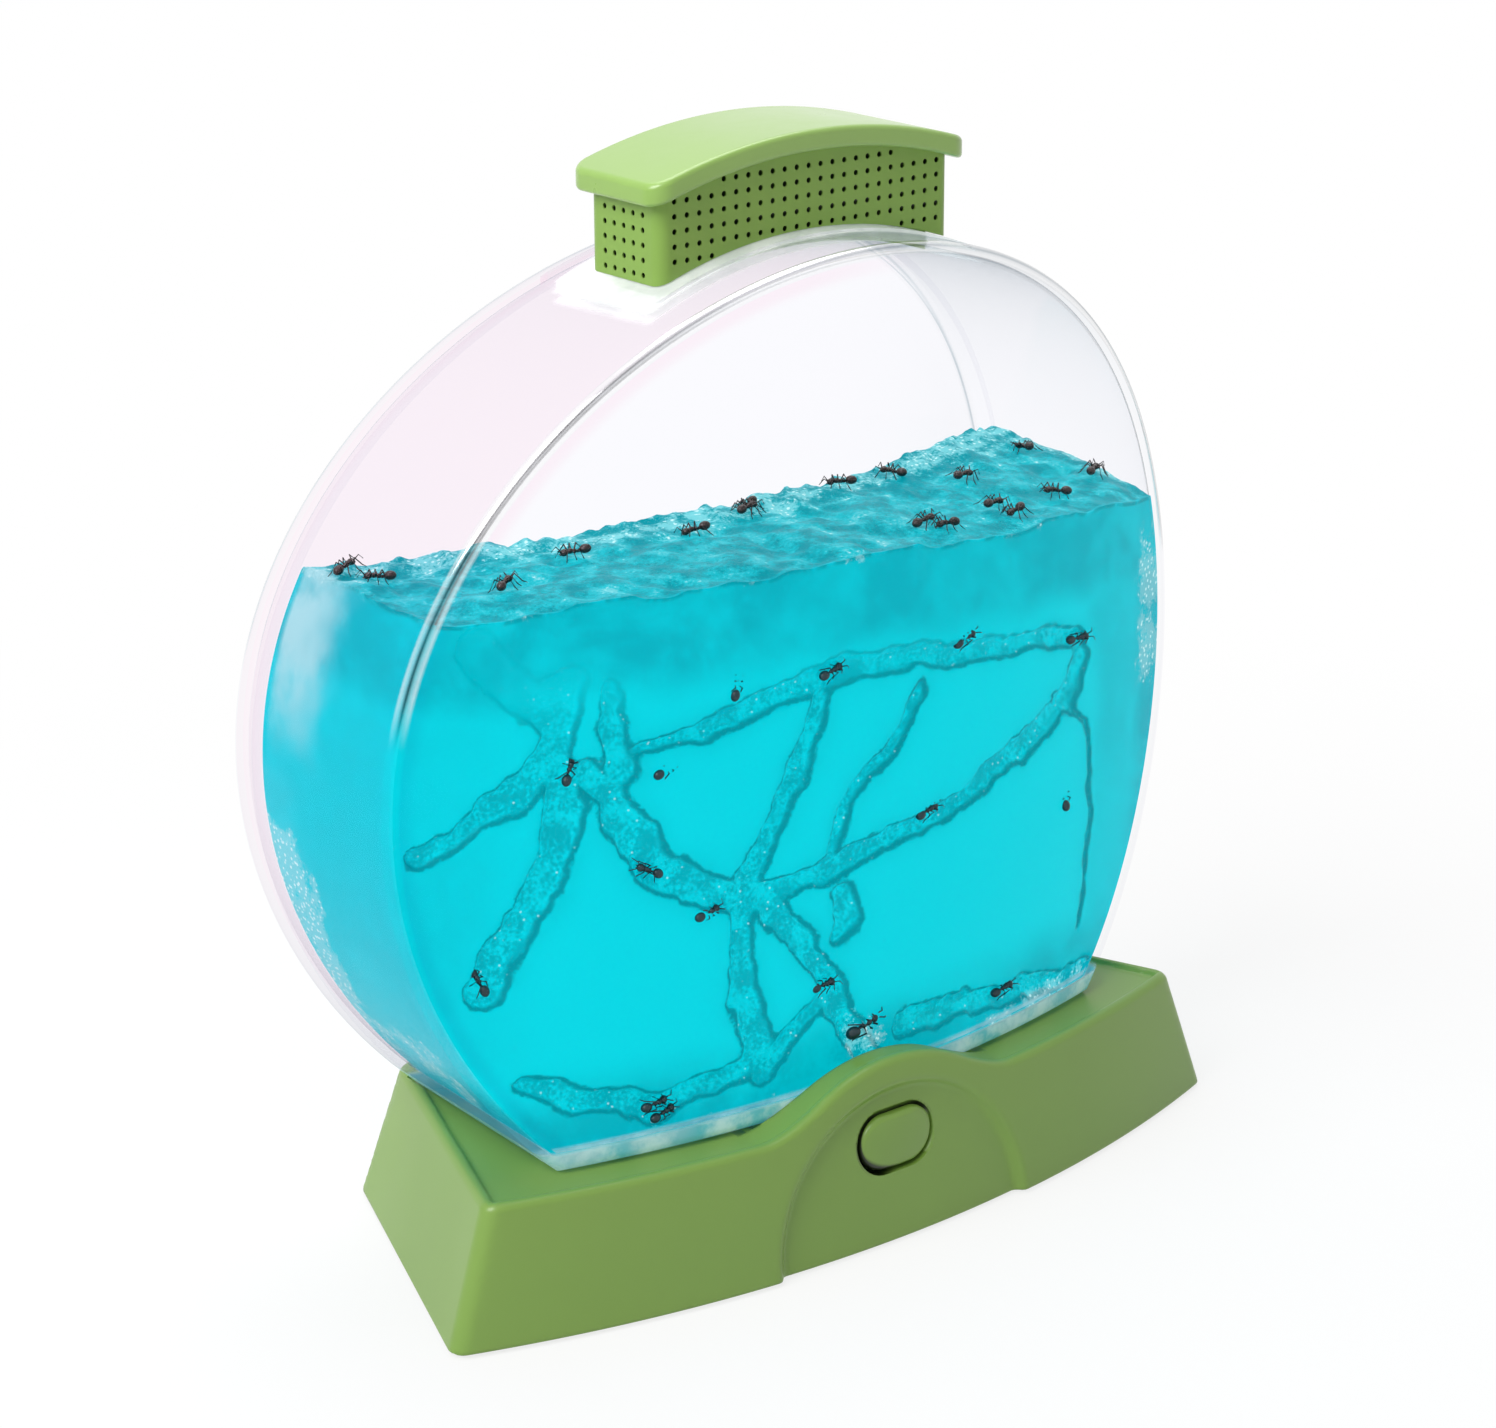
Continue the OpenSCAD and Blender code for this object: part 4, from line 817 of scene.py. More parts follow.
def tank_room(grow=0.0):
    """Room for the tank above the deck, wider by grow."""
    gap = SIDE_GAP + grow
    rings = window_rings(lambda x: front_face(x) - gap, -gap, -0.28, True)
    rings += window_rings(lambda x: rear_face(x) + gap, -gap, -0.28, False)
    return solid("tank_room", *closed_shell(rings))


def foot_room(grow=0.0):
    """Room for the tank's foot, down to the cradle's floor, wider by grow."""
    line = foot_line(-SIDE_GAP - 0.02 - grow)
    low, high = ([(x, y, z) for x, y in line] for z in (CRADLE_Z + 0.02, DECK_Z + 3))
    return prism("foot_room", low, high)


def oval_line(width, height, steps=24):
    """Points round an oval with two round ends, in x and z."""
    radius = height / 2
    middle = (width - height) / 2
    turns = np.radians(np.linspace(-90, 90, steps))
    right = [(middle + radius * math.cos(turn), radius * math.sin(turn)) for turn in turns]
    return right + [(-x, -z) for x, z in right]


def button_room():
    """Room for the button in the pad, a little wider at the upper left, where the gap shows."""
    grow = 2 * (BUTTON_GAP + BUTTON_ROOM)
    line = oval_line(BUTTON_W + grow, BUTTON_H + grow)
    front, rear = ([(x - BUTTON_SHIFT, y, BUTTON_Z + z + BUTTON_SHIFT) for x, z in line]
                   for y in (PAD_Y - 20, PAD_Y + 1.6))
    return prism("button_room", front, rear)


def button_mesh(look):
    """The button with its crowned face and rolled edge."""
    low, high = (np.array(corner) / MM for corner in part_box("button_cap"))
    crown_y = low[1] + BUTTON_CROWN
    flange = PAD_Y + 3.5

    def distance(x, y, z):
        rim = np.hypot(np.maximum(np.abs(x) - (BUTTON_W - BUTTON_H) / 2, 0), z - BUTTON_Z) - BUTTON_H / 2
        crown = np.sqrt(x ** 2 + (y - crown_y) ** 2 + (z - BUTTON_Z) ** 2) - BUTTON_CROWN
        face = meet(rim + 0.02, crown + 0.02, look.button_edge / MM)
        return np.maximum(np.minimum(face, np.maximum(rim - 3, flange - y)), y - high[1] - 1)
    axes = (spaced((-16, 16, 0.4)), spaced((low[1] - 1, low[1] + 4, 0.3), (low[1] + 4, high[1] + 2, 0.8)),
            spaced((BUTTON_Z - 12, BUTTON_Z + 12, 0.4)))
    form = surface_mesh("button_form", distance, lambda x, y, z: (x, y, z), axes)
    return combine("button_rounded", form, [(node_copy("button_cap"), "INTERSECT")])


def cap_mesh(look):
    """The vent's arched cap with soft edges."""
    half_w = float(CAP_HIGH[0])
    mid_y = float(CAP_LOW[1] + CAP_HIGH[1]) / 2
    half_d = float(CAP_HIGH[1] - CAP_LOW[1]) / 2

    def place(turn, y, r):
        return r * np.sin(turn / CAP_R), y + mid_y, TANK_CZ + r * np.cos(turn / CAP_R)

    def plan(x, y, inset):
        dx = np.abs(x) - half_w + CAP_CORNER + inset
        dy = np.abs(y - mid_y) - half_d + CAP_CORNER + inset
        return np.hypot(np.maximum(dx, 0), np.maximum(dy, 0)) + np.minimum(np.maximum(dx, dy), 0) - CAP_CORNER

    def distance(x, y, z):
        r = np.hypot(x, z - TANK_CZ)
        plate = np.maximum(r - CAP_R, CAP_R - CAP_T - r)
        edge = meet(plan(x, y, 0.02), plate + 0.02, look.cap_edge / MM)
        return np.minimum(edge, np.maximum(plan(x, y, 3.4), np.maximum(r - CAP_R + 2, CAP_R - 12 - r)))
    side, end = half_w + 3, half_d + 1.5
    axes = (spaced((-side, -side + 8, 0.6), (-side + 8, side - 8, 1.5), (side - 8, side, 0.6)),
            spaced((-end, -end + 7.5, 0.6), (-end + 7.5, end - 7.5, 1.5), (end - 7.5, end, 0.6)),
            spaced((CAP_R - 13.5, CAP_R - CAP_T - 1, 1.1), (CAP_R - CAP_T - 1, CAP_R + 1, 0.35)))
    form = surface_mesh("cap_form", distance, place, axes)
    return combine("vent_cap_rounded", form, [(node_copy("vent_cap"), "INTERSECT")])


# ---------- form of the tank, in millimetres ----------

def front_face(x):
    """y of the bulging front window."""
    return FRONT_CY - np.sqrt(FRONT_CURVE ** 2 - np.square(x))


def rear_face(x):
    """y of the hollow rear window."""
    return REAR_CY - np.sqrt(REAR_CURVE ** 2 - np.square(x))


def seam_face(x):
    """y of the seam between the shell and the rear cover."""
    return REAR_CY - np.sqrt((REAR_CURVE + SEAM_DEPTH) ** 2 - np.square(x))


def between(first, second, share, first_in=0.0, second_in=0.0):
    """A depth between two faces, each moved back by its own amount."""
    return lambda x: (first(x) + first_in) * (1 - share) + (second(x) + second_in) * share


def side_radius(y):
    """Radius of the tank's side wall, which narrows to the rear."""
    return TANK_R - TAPER * (y - CORNER_Y)


def tank_ring(depth, inset=0.0, lift=0.0, scale=1.0, arc=220, flat=60):
    """One ring round the tank: its section moved in by inset and up by lift, on the surface y = depth(x)."""
    y = np.zeros(arc + flat)
    turn = np.arange(arc) / arc
    run = np.arange(flat) / flat
    for _ in range(5):
        radius = side_radius(y) - inset
        low = np.arcsin((TANK_CZ - UNDERSIDE - lift) / radius)
        angle = math.pi + low[:arc] - turn * (math.pi + 2 * low[:arc])
        x = np.concatenate([radius[:arc] * np.cos(angle), radius[arc:] * np.cos(low[arc:]) * (1 - 2 * run)])
        z = np.concatenate([TANK_CZ + radius[:arc] * np.sin(angle), np.full(flat, UNDERSIDE + lift)])
        y = depth(x)
    x = x * scale
    return np.stack([x, depth(x), TANK_CZ + (z - TANK_CZ) * scale], axis=1)


def window_rings(depth, inset, lift, outward):
    """Rings that fill a window from its middle, or back to it."""
    scales = np.linspace(0.05, 1, 17)
    return [tank_ring(depth, inset, lift, scale) for scale in (scales if outward else scales[::-1])]


def rim_rings(face, radius, inset, lift, offset, side, outward):
    """Rings round a rounded rim; side is 1 where the wall runs back from the face, else -1."""
    turns = np.radians(np.linspace(0, 90, 7))[1:]
    rings = []
    for turn in (turns if outward else turns[::-1]):
        back = offset + side * radius * (1 - math.cos(turn))
        draw = radius * (1 - math.sin(turn))
        rings.append(tank_ring(lambda x: face(x) + back, inset + draw, lift + draw))
    return rings


def closed_shell(rings):
    """Points and faces of a shell whose first and last rings are closed by fans round their middles."""
    rings = np.array(rings)
    rows, count = rings.shape[:2]
    faces = loft(rings, True)
    points = list(rings.reshape(-1, 3))
    for row, flip in ((0, True), (rows - 1, False)):
        middle = rings[row].mean(axis=0)
        points.append(middle)
        tip = len(points) - 1
        for j in range(count):
            a, b = row * count + j, row * count + (j + 1) % count
            faces.append((tip, b, a) if flip else (tip, a, b))
    return np.array(points), faces


def mark_rims(mesh, rim, inner_rim):
    """Gives the rounded rims and the seam's end faces the second material."""
    count = len(mesh.polygons)
    centre = np.empty(count * 3)
    mesh.polygons.foreach_get("center", centre)
    x, y, z = (centre.reshape(-1, 3) / MM).T
    side = side_radius(y) - np.hypot(x, z - TANK_CZ)
    low = z - UNDERSIDE
    edge = np.minimum(side, low)
    edge_in = np.minimum(side - WALL, low - FLOOR)
    flags = np.zeros(count, dtype=bool)
    for back in (y - front_face(x), rear_face(x) - y):
        flags |= (np.abs(edge) < rim) & (np.abs(back) < rim)
        flags |= (np.abs(edge_in) < inner_rim) & (np.abs(back - WALL) < inner_rim)
    seam = y - seam_face(x)
    flags |= (seam > -0.05) & (seam < 0.15) & (edge < WALL + 0.5)
    mesh.polygons.foreach_set("material_index", flags.astype(np.int32))
    x, y, z = np.array([vert.co for vert in mesh.vertices]).T / MM
    side = np.minimum(side_radius(y) - np.hypot(x, z - TANK_CZ), z - UNDERSIDE)
    back = np.minimum(y - front_face(x), rear_face(x) - y)
    slant = np.where((side < rim + 0.1) & (back < rim + 0.1), np.abs(side - back), 9)
    # numbers for the rim's painted dark line along its middle and for its glossier flanks
    set_numbers(mesh, "core", ramp(slant, 1.1, 0.0))
    set_numbers(mesh, "flank", ramp(slant, 0.6, 1.3) * ramp(slant, 2.6, 1.9))


def rounded_block(name, width, depth, corner, low, high, middle_y, steps=8):
    """Upright block with rounded corners, as a closed mesh."""
    plan = []
    for sx, sy, start in ((1, 1, 0), (-1, 1, 90), (-1, -1, 180), (1, -1, 270)):
        for angle in np.radians(start + np.linspace(0, 90, steps + 1)):
            plan.append((sx * (width / 2 - corner) + corner * math.cos(angle),
                         middle_y + sy * (depth / 2 - corner) + corner * math.sin(angle)))
    return prism(name, *([(x, y, z) for x, y in plan] for z in (low, high)))


def neck_boss():
    """Low boss on the tank's top round the neck, up to the seam."""
    front = VENT_Y - VENT_D / 2 - BOSS_FRONT
    xs = np.concatenate([-BOSS_HALF + BOSS_CORNER * (1 - np.cos(np.radians(np.linspace(0, 90, 7)))),
                         np.linspace(-BOSS_HALF + BOSS_CORNER, BOSS_HALF - BOSS_CORNER, 41)[1:-1],
                         BOSS_HALF - BOSS_CORNER * (1 - np.cos(np.radians(np.linspace(90, 0, 7))))])
    inward = np.clip(np.abs(xs) - (BOSS_HALF - BOSS_CORNER), 0, BOSS_CORNER)
    low = front + BOSS_CORNER - np.sqrt(BOSS_CORNER ** 2 - inward ** 2)
    high = np.minimum(seam_face(xs) - 0.05, VENT_Y + VENT_D / 2 + 10.8)
    bottom = TANK_CZ + np.sqrt((TANK_R - 1.2) ** 2 - xs ** 2)
    top = TANK_CZ + np.sqrt((TANK_R + BOSS_RISE) ** 2 - xs ** 2)
    rings = np.array([[(x, a, b), (x, c, b), (x, c, t), (x, a, t)]
                      for x, a, c, b, t in zip(xs, low, high, bottom, top)])
    faces = loft(rings, True)
    last = (len(xs) - 1) * 4
    faces += [(3, 2, 1, 0), (last, last + 1, last + 2, last + 3)]
    return solid("neck_boss", rings.reshape(-1, 3), faces)


def foot_line(shrink=0.0):
    """Outline of the tank's foot in plan, moved in by shrink."""
    span = np.linspace(-1, 1, 41) * (FOOT_HALF - shrink)
    front = FRONT_CY - np.sqrt((FRONT_CURVE - FOOT_INSET - shrink) ** 2 - span ** 2)
    back = REAR_CY - np.sqrt((REAR_CURVE + FOOT_INSET + shrink) ** 2 - span ** 2)
    return [(x, y) for x, y in zip(span, front)] + [(x, y) for x, y in zip(span[::-1], back[::-1])]


def foot_ring():
    """The tank's foot: a curved wall that drops into the base."""
    outer, inner = foot_line(), foot_line(WALL)
    top = UNDERSIDE + 0.6
    levels = ((outer, FOOT_Z), (outer, top), (inner, top), (inner, FOOT_Z), (outer, FOOT_Z))
    rings = np.array([[(x, y, z) for x, y in line] for line, z in levels])
    return solid("foot_ring", rings.reshape(-1, 3), loft(rings, True))


# ---------- gel ----------

# Tunnels along the front window: x, z and width at each bend, in millimetres
TUNNELS = [
    [(-78, 148, 7), (-81, 134, 6), (-88, 125, 5), (-99, 119, 4), (-110, 114, 4)],
    [(-78, 129, 6), (-79, 115, 7), (-82, 104, 6), (-89, 95, 5), (-94, 87, 5), (-97, 80, 7)],
    [(-72, 128, 5), (-65, 115, 6), (-57, 103, 7), (-46, 95, 6), (-34, 89, 7)],
    [(-13, 134, 4), (-18, 120, 4), (-25, 107, 4), (-33, 96, 5), (-34, 89, 6)],
    [(18, 129, 3), (9, 119, 3), (-3, 110, 3), (-9, 96, 3)],
    [(78, 124, 4), (72, 113, 5), (52, 106, 5), (32, 99, 4), (8, 95, 4), (-11, 92, 4), (-30, 90, 5)],
    [(-35, 88, 5), (-35, 78, 5), (-35, 65, 5), (-30, 52, 5)],
    [(-30, 89, 5), (-17, 75, 5), (-9, 61, 5), (-4, 50, 5), (3, 40, 4)],
    [(-13, 59, 4), (-23, 52, 4), (-29, 45, 4)],
    [(-6, 86, 4), (-5, 79, 5), (-7, 74, 3)],
    [(-90, 56, 3), (-76, 49, 4), (-59, 44, 5), (-43, 46, 5), (-30, 50, 4)],
    [(-60, 131, 3), (-45, 132, 4), (-29, 137, 4), (-7, 140, 5), (21, 137, 4), (66, 131, 4), (77, 128, 4),
     (78, 123, 4)],
    [(-67, 146, 4), (-67, 137, 4), (-64, 126, 5)],
    [(66, 116, 1), (80, 105, 1), (84, 80, 1), (79, 52, 1)],
    [(-97, 159, 7), (-87, 147, 7), (-79, 141, 7)],
    [(12, 47, 5), (33, 46, 5), (60, 41, 5), (84, 38, 4)],
]
GEL_GAP = 0.12
GEL_Z = DECK_Z + 132.0
GEL_FALL = 10.0
GEL_REACH = 0.83
TUNNEL_R = 2.8


def ramp(value, start, end):
    """Eased share of the way from start to end."""
    share = np.clip((value - start) / (end - start), 0, 1)
    return share * share * (3 - 2 * share)


def soft_noise(u, v, cell, seed):
    """Smooth noise from -1 to 1 with bumps one cell apart, the same on every run."""
    table = np.random.default_rng(seed).uniform(-1, 1, (64, 64))
    i, j = np.floor(u / cell).astype(int), np.floor(v / cell).astype(int)
    s, t = u / cell - i, v / cell - j
    s, t = s * s * (3 - 2 * s), t * t * (3 - 2 * t)

    def at(a, b):
        return table[(i + a) % 64, (j + b) % 64]
    return (at(0, 0) * (1 - s) + at(1, 0) * s) * (1 - t) + (at(0, 1) * (1 - s) + at(1, 1) * s) * t


def gel_top(x, back, seed):
    """Height of the gel's lumpy top at x; back runs from 0 at the front window to 1 at the seam."""
    x, back = np.asarray(x, float), np.asarray(back, float)
    depth = back * 55
    lumps = soft_noise(x, depth, 13, seed) + 0.9 * soft_noise(x, depth, 5.3, seed + 1)
    lumps += 0.6 * soft_noise(x, depth, 2.3, seed + 2) * (0.2 + back ** 2)
    return GEL_Z - GEL_FALL * np.maximum(x, 0) / TANK_R * (1 - GEL_REACH * back) + np.minimum(lumps, 0.9)


def tunnel_distance(x, z, seed, girth):
    """Distance to the nearest tunnel's edge, negative inside, with uneven walls."""
    u = x + 1.4 * soft_noise(x, z, 8, seed) + 0.6 * soft_noise(x, z, 2.6, seed + 1)
    v = z + 1.4 * soft_noise(x, z, 8, seed + 2) + 0.6 * soft_noise(x, z, 2.6, seed + 3)
    nearest = np.full(np.shape(x), 99.0)
    for bends in TUNNELS:
        for (xa, za, wa), (xb, zb, wb) in zip(bends, bends[1:]):
            dx, dz = xb - xa, zb - za
            share = np.clip(((u - xa) * dx + (v - za) * dz) / (dx * dx + dz * dz), 0, 1)
            gap = np.hypot(u - xa - share * dx, v - za - share * dz) - girth * (wa + (wb - wa) * share) / 2
            join = np.clip(0.5 + (nearest - gap) / 3, 0, 1)
            nearest = nearest * (1 - join) + gap * join - 1.5 * join * (1 - join)
    return nearest


def gel_rings(look, stations=400, up=140, over=44, down=30):
    """Cross sections of the gel from left to right, with the distance to a tunnel and to the top."""
    seed = look.seed
    share_y = np.concatenate([np.zeros(up), np.linspace(0, 1, over), np.ones(down), np.linspace(1, 0, over)])
    share_z = np.concatenate([np.linspace(0, 1, up), np.ones(over), np.linspace(1, 0, down), np.zeros(over)])
    turn = np.radians(np.linspace(-90, 90, stations))[:, None]
    y = np.zeros((stations, len(share_y)))
    for _ in range(6):
        radius = side_radius(y) - WALL - GEL_GAP
        x = radius * np.sin(turn)
        y = (front_face(x) + WALL + GEL_GAP) * (1 - share_y) + (seam_face(x) - GEL_GAP) * share_y
    half = np.sqrt(np.maximum(radius ** 2 - x ** 2, 0))
    low = np.maximum(TANK_CZ - half, UNDERSIDE + FLOOR + GEL_GAP)
    high = np.minimum(TANK_CZ + half, gel_top(x, share_y, seed))
    z = low + (high - low) * share_z
    front = (np.arange(len(share_y)) < up) & (np.abs(turn) < math.radians(84))
    tunnel = np.where(front, tunnel_distance(x, z, seed + 10, look.girth), 9.0)
    room = np.clip((high - low - 3) / 10, 0, 1)
    sunk = np.clip(-tunnel, 0, TUNNEL_R)
    carve = np.sqrt(sunk * (2 * TUNNEL_R - sunk)) / TUNNEL_R * room
    y = y + np.where(front, carve * look.tunnel_depth / MM, 0)
    top = gel_top(x, share_y, seed)
    return np.stack([x, y, z], axis=2), tunnel, top - z, share_y + np.zeros_like(x)


def set_numbers(mesh, name, values):
    """Keeps a number at each vertex."""
    mesh.attributes.new(name, "FLOAT", "POINT").data.foreach_set("value", np.asarray(values, np.float32))


def build_gel(look):
    """The gel as one closed mesh with the numbers that its material reads."""
    rings, tunnel, level, back = gel_rings(look)
    points = rings.reshape(-1, 3) * MM
    mesh = bpy.data.meshes.new("gel_with_tunnels")
    mesh.from_pydata(points.tolist(), [], loft(rings, True))
    x, y, z = (points / MM).T
    level, back, tunnel = level.ravel(), back.ravel(), tunnel.ravel()
    seed = look.seed
    at_front = back < 0.001
    on_side = ramp(side_radius(y) - WALL - np.hypot(x, z - TANK_CZ), 2.5, 0.8) * ~at_front
    left = on_side * (x < 0)
    warp = soft_noise(y, z, 12, seed + 20)
    ripple = soft_noise(y, z, 4, seed + 21)
    tall = z + 7 * warp + 2 * ripple
    deep = back + 0.1 * warp + 0.04 * ripple
    # drawn back from the left wall near the top, with a strip that still touches it
    pale = left * ramp(deep, 0.5, 0.95) * ramp(back, 0.99, 0.95) * ramp(tall, 116, 156) * ramp(tall, 190, 164)
    pale = np.maximum(pale, 0.15 * left * ramp(deep, 0.6, 0.95) * ramp(tall, 84, 96) * ramp(tall, 124, 108))
    near_ant = np.hypot(x - BIG_ANT[0], z - BIG_ANT[1] + 2)
    froth = np.maximum.reduce([
        left * 0.9 * ramp(deep, 0.6, 0.82) * ramp(tall, 48, 56) * ramp(tall, 112, 100),
        left * 0.6 * ramp(deep, 0.3, 0.45) * ramp(deep, 0.85, 0.6) * ramp(z, 32, 42) * ramp(z, 66, 56),
        ramp(level, 3, 0.5) * (0.3 + 0.3 * ramp(back, 0.6, 0.9)),
        ramp(x, 98, 108) * ramp(z, 95, 115) * (0.6 + 0.4 * soft_noise(z, x, 9, seed + 22)),
        ramp(z, 43, 38) * at_front * (0.25 + 0.3 * ramp(x, 20, 50)),
        0.55 * ramp(near_ant, 11, 3) * at_front])
    # where the gel is darker: under the top, near the bottom, at both sides and round the tunnels
    gel_darkening = np.maximum.reduce([ramp(level, 27, 14), ramp(z, 60, 42), 0.4 * ramp(x, -80, -108),
                              0.5 * ramp(x + 3 * warp, 76, 88), ramp(x, 94, 110),
                              0.45 * np.exp(-np.clip(tunnel, 0, 9) / 2.2)])
    crest = ramp(np.abs(level - 0.3), 1.2, 0) * (back < 0.02)
    numbers = {"tunnel": tunnel, "level": level, "pale": pale, "froth": froth, "crest": crest, "gel_darkening": gel_darkening}
    for name, values in numbers.items():
        set_numbers(mesh, name, values)
    return tidy_mesh(mesh)


# ---------- ants ----------

def lobe(work, middle, radii, tilt=0.0, segments=14, rings=9):
    """One rounded part of a body."""
    matrix = Matrix.Translation(middle) @ Matrix.Rotation(tilt, 4, "Y") @ Matrix.Diagonal((*radii, 1))
    bmesh.ops.create_uvsphere(work, u_segments=segments, v_segments=rings, radius=1, matrix=matrix)


def limb(work, bends, thick, thin, sides=5):
    """A jointed leg or feeler along its bends, thinner to its end."""
    bends = [Vector(b) for b in bends]
    rings = []
    for i, point in enumerate(bends):
        heading = (bends[min(i + 1, len(bends) - 1)] - bends[max(i - 1, 0)]).normalized()
        across = heading.orthogonal().normalized()
        other = heading.cross(across)
        radius = thick + (thin - thick) * i / (len(bends) - 1)
        rings.append([work.verts.new(point + radius * (across * math.cos(a) + other * math.sin(a)))
                      for a in np.arange(sides) * 2 * math.pi / sides])
    for first, second in zip(rings, rings[1:]):
        for j in range(sides):
            work.faces.new((first[j], first[(j + 1) % sides], second[(j + 1) % sides], second[j]))
    work.faces.new(rings[0][::-1])
    work.faces.new(rings[-1])


def ant_mesh(name, rng, length, material, spread=1.0):
    """An ant along +X, feet at z = 0, its body's length given; made in shares of that length."""
    work = bmesh.new()
    rise = 0.19
    droop = rng.uniform(-0.25, 0.15)
    lobe(work, (0.37, 0, rise + 0.02), (0.13, 0.13, 0.105), 0.25)
    lobe(work, (0.48, 0.04, rise - 0.03), (0.05, 0.02, 0.018), 0.3, 8, 5)
    lobe(work, (0.48, -0.04, rise - 0.03), (0.05, 0.02, 0.018), 0.3, 8, 5)
    lobe(work, (0.19, 0, rise + 0.04), (0.11, 0.085, 0.085), 0.1)
    lobe(work, (0.06, 0, rise + 0.02), (0.1, 0.068, 0.068), -0.25)
    lobe(work, (-0.05, 0, rise), (0.045, 0.036, 0.055), 0.0, 10, 7)
    lobe(work, (-0.11, 0, rise), (0.04, 0.042, 0.045), 0.0, 10, 7)
    lobe(work, (-0.28, 0, rise + 0.03 + droop * 0.1), (0.19, 0.15, 0.14), droop)
    for side in (-1, 1):
        lobe(work, (0.39, side * 0.1, rise + 0.06), (0.024, 0.016, 0.024), 0.0, 8, 6)
        sway = rng.uniform(-0.06, 0.06)
        limb(work, [(0.46, side * 0.04, rise + 0.04), (0.57, side * 0.17 * spread, rise + 0.17),
                    (0.7 + sway, side * 0.2, rise)], 0.022, 0.013)
        for root, reach in ((0.24, 0.22), (0.15, -0.02), (0.06, -0.32)):
            step = rng.uniform(-0.08, 0.08)
            out = spread * rng.uniform(0.9, 1.15)
            limb(work, [(root, side * 0.05, rise), (root + reach * 0.35, side * 0.22 * out, rise + 0.17),
                        (root + reach * 0.8 + step, side * 0.37 * out, rise * 0.5),
                        (root + reach + step, side * 0.48 * out, 0.01)], 0.03, 0.013)
    for vert in work.verts:
        vert.co *= length
    bmesh.ops.recalc_face_normals(work, faces=work.faces)
    mesh = bpy.data.meshes.new(name)
    work.to_mesh(mesh)
    work.free()
    mesh.shade_smooth()
    mesh.materials.append(material)
    return mesh


# Ants on top of the gel: x, how far back from 0 at the front to 1 at the rear, and heading in degrees
TOP_ANTS = [(29, 0.2, 10), (-52, 0.68, 160), (-80, 0.3, 35), (-18, 0.75, 170), (1, 0.88, 20), (4, 0.94, 200),
            (35, 0.94, 140), (52, 0.9, 110), (63, 0.6, 15), (98, 0.7, 80), (81, 0.2, 160), (101, 0.25, 30),
            (-100, 0.85, 20), (-96, 0.72, 150), (55, 0.22, 15), (58, 0.1, 200), (34, 0.12, 185)]
# Ants in the tunnels, against the front window: x, z and heading in degrees from +X towards +Z
TUNNEL_ANTS = [(-36, 141, 75), (-10, 139, 15), (32, 138, 20), (76, 127, 0), (-77, 128, 60), (-54, 124, 20),
               (-58, 101, 150), (20, 98, 15), (72, 87, 85), (-98, 81, 110), (-44, 88, 10), (-12, 62, 5),
               (-58, 44, 8), (-56, 41, 15), (48, 44, 12)]
BIG_ANT = (0, 49, 20)


def stand(piece, point, ahead, up):
    """Turns an ant to its heading on a surface and sets it down at a point in millimetres."""
    up = Vector(up).normalized()
    ahead = Vector(ahead)
    ahead = (ahead - up * ahead.dot(up)).normalized()
    side = up.cross(ahead)
    turn = Matrix((ahead, side, up)).transposed().to_4x4()
    piece.matrix_world = Matrix.Translation(Vector(point) * MM) @ turn


# ---------- operators ----------

class HABITAT_OT_base(bpy.types.Operator):
    """Rounds the base housing's outer edges and gives it its satin green finish"""

    bl_idname = "habitat.base"
    bl_label = "Base Housing"

    def execute(self, context):
        look = context.scene.habitat_shell
        green = base_plastic("green_shell", tuple(look.colour), 0.33)
        housing = place_piece("base_housing_rounded", housing_mesh(look), [green], "base", 40)
        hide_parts("base_housing")
        button = place_piece("button_rounded", button_mesh(look), [green], "button", 40)
        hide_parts("button_cap")
        return {"FINISHED"}


class HABITAT_OT_vent(bpy.types.Operator):
    """Rounds the vent's cap and finishes the perforated vent box"""

    bl_idname = "habitat.vent"
    bl_label = "Vent and Cap"

    def execute(self, context):
        look = context.scene.habitat_shell
        # painted light: the cap is a lighter copy of the same green, standing in for the stronger light on
        # its top
        green = moulded_plastic("green_cap", shade(look.colour, 1.3), 0.32, coat=0.7)
        cap = place_piece("vent_cap_rounded", cap_mesh(look), [green], "lid", 40)
        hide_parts("vent_cap")
        # painted light: the vent box is a lighter copy of the same green, standing in for the light that
        # falls on it
        dress(vent_plastic("green_vent_box", shade(look.colour, 1.15)), "vent_box")
        return {"FINISHED"}


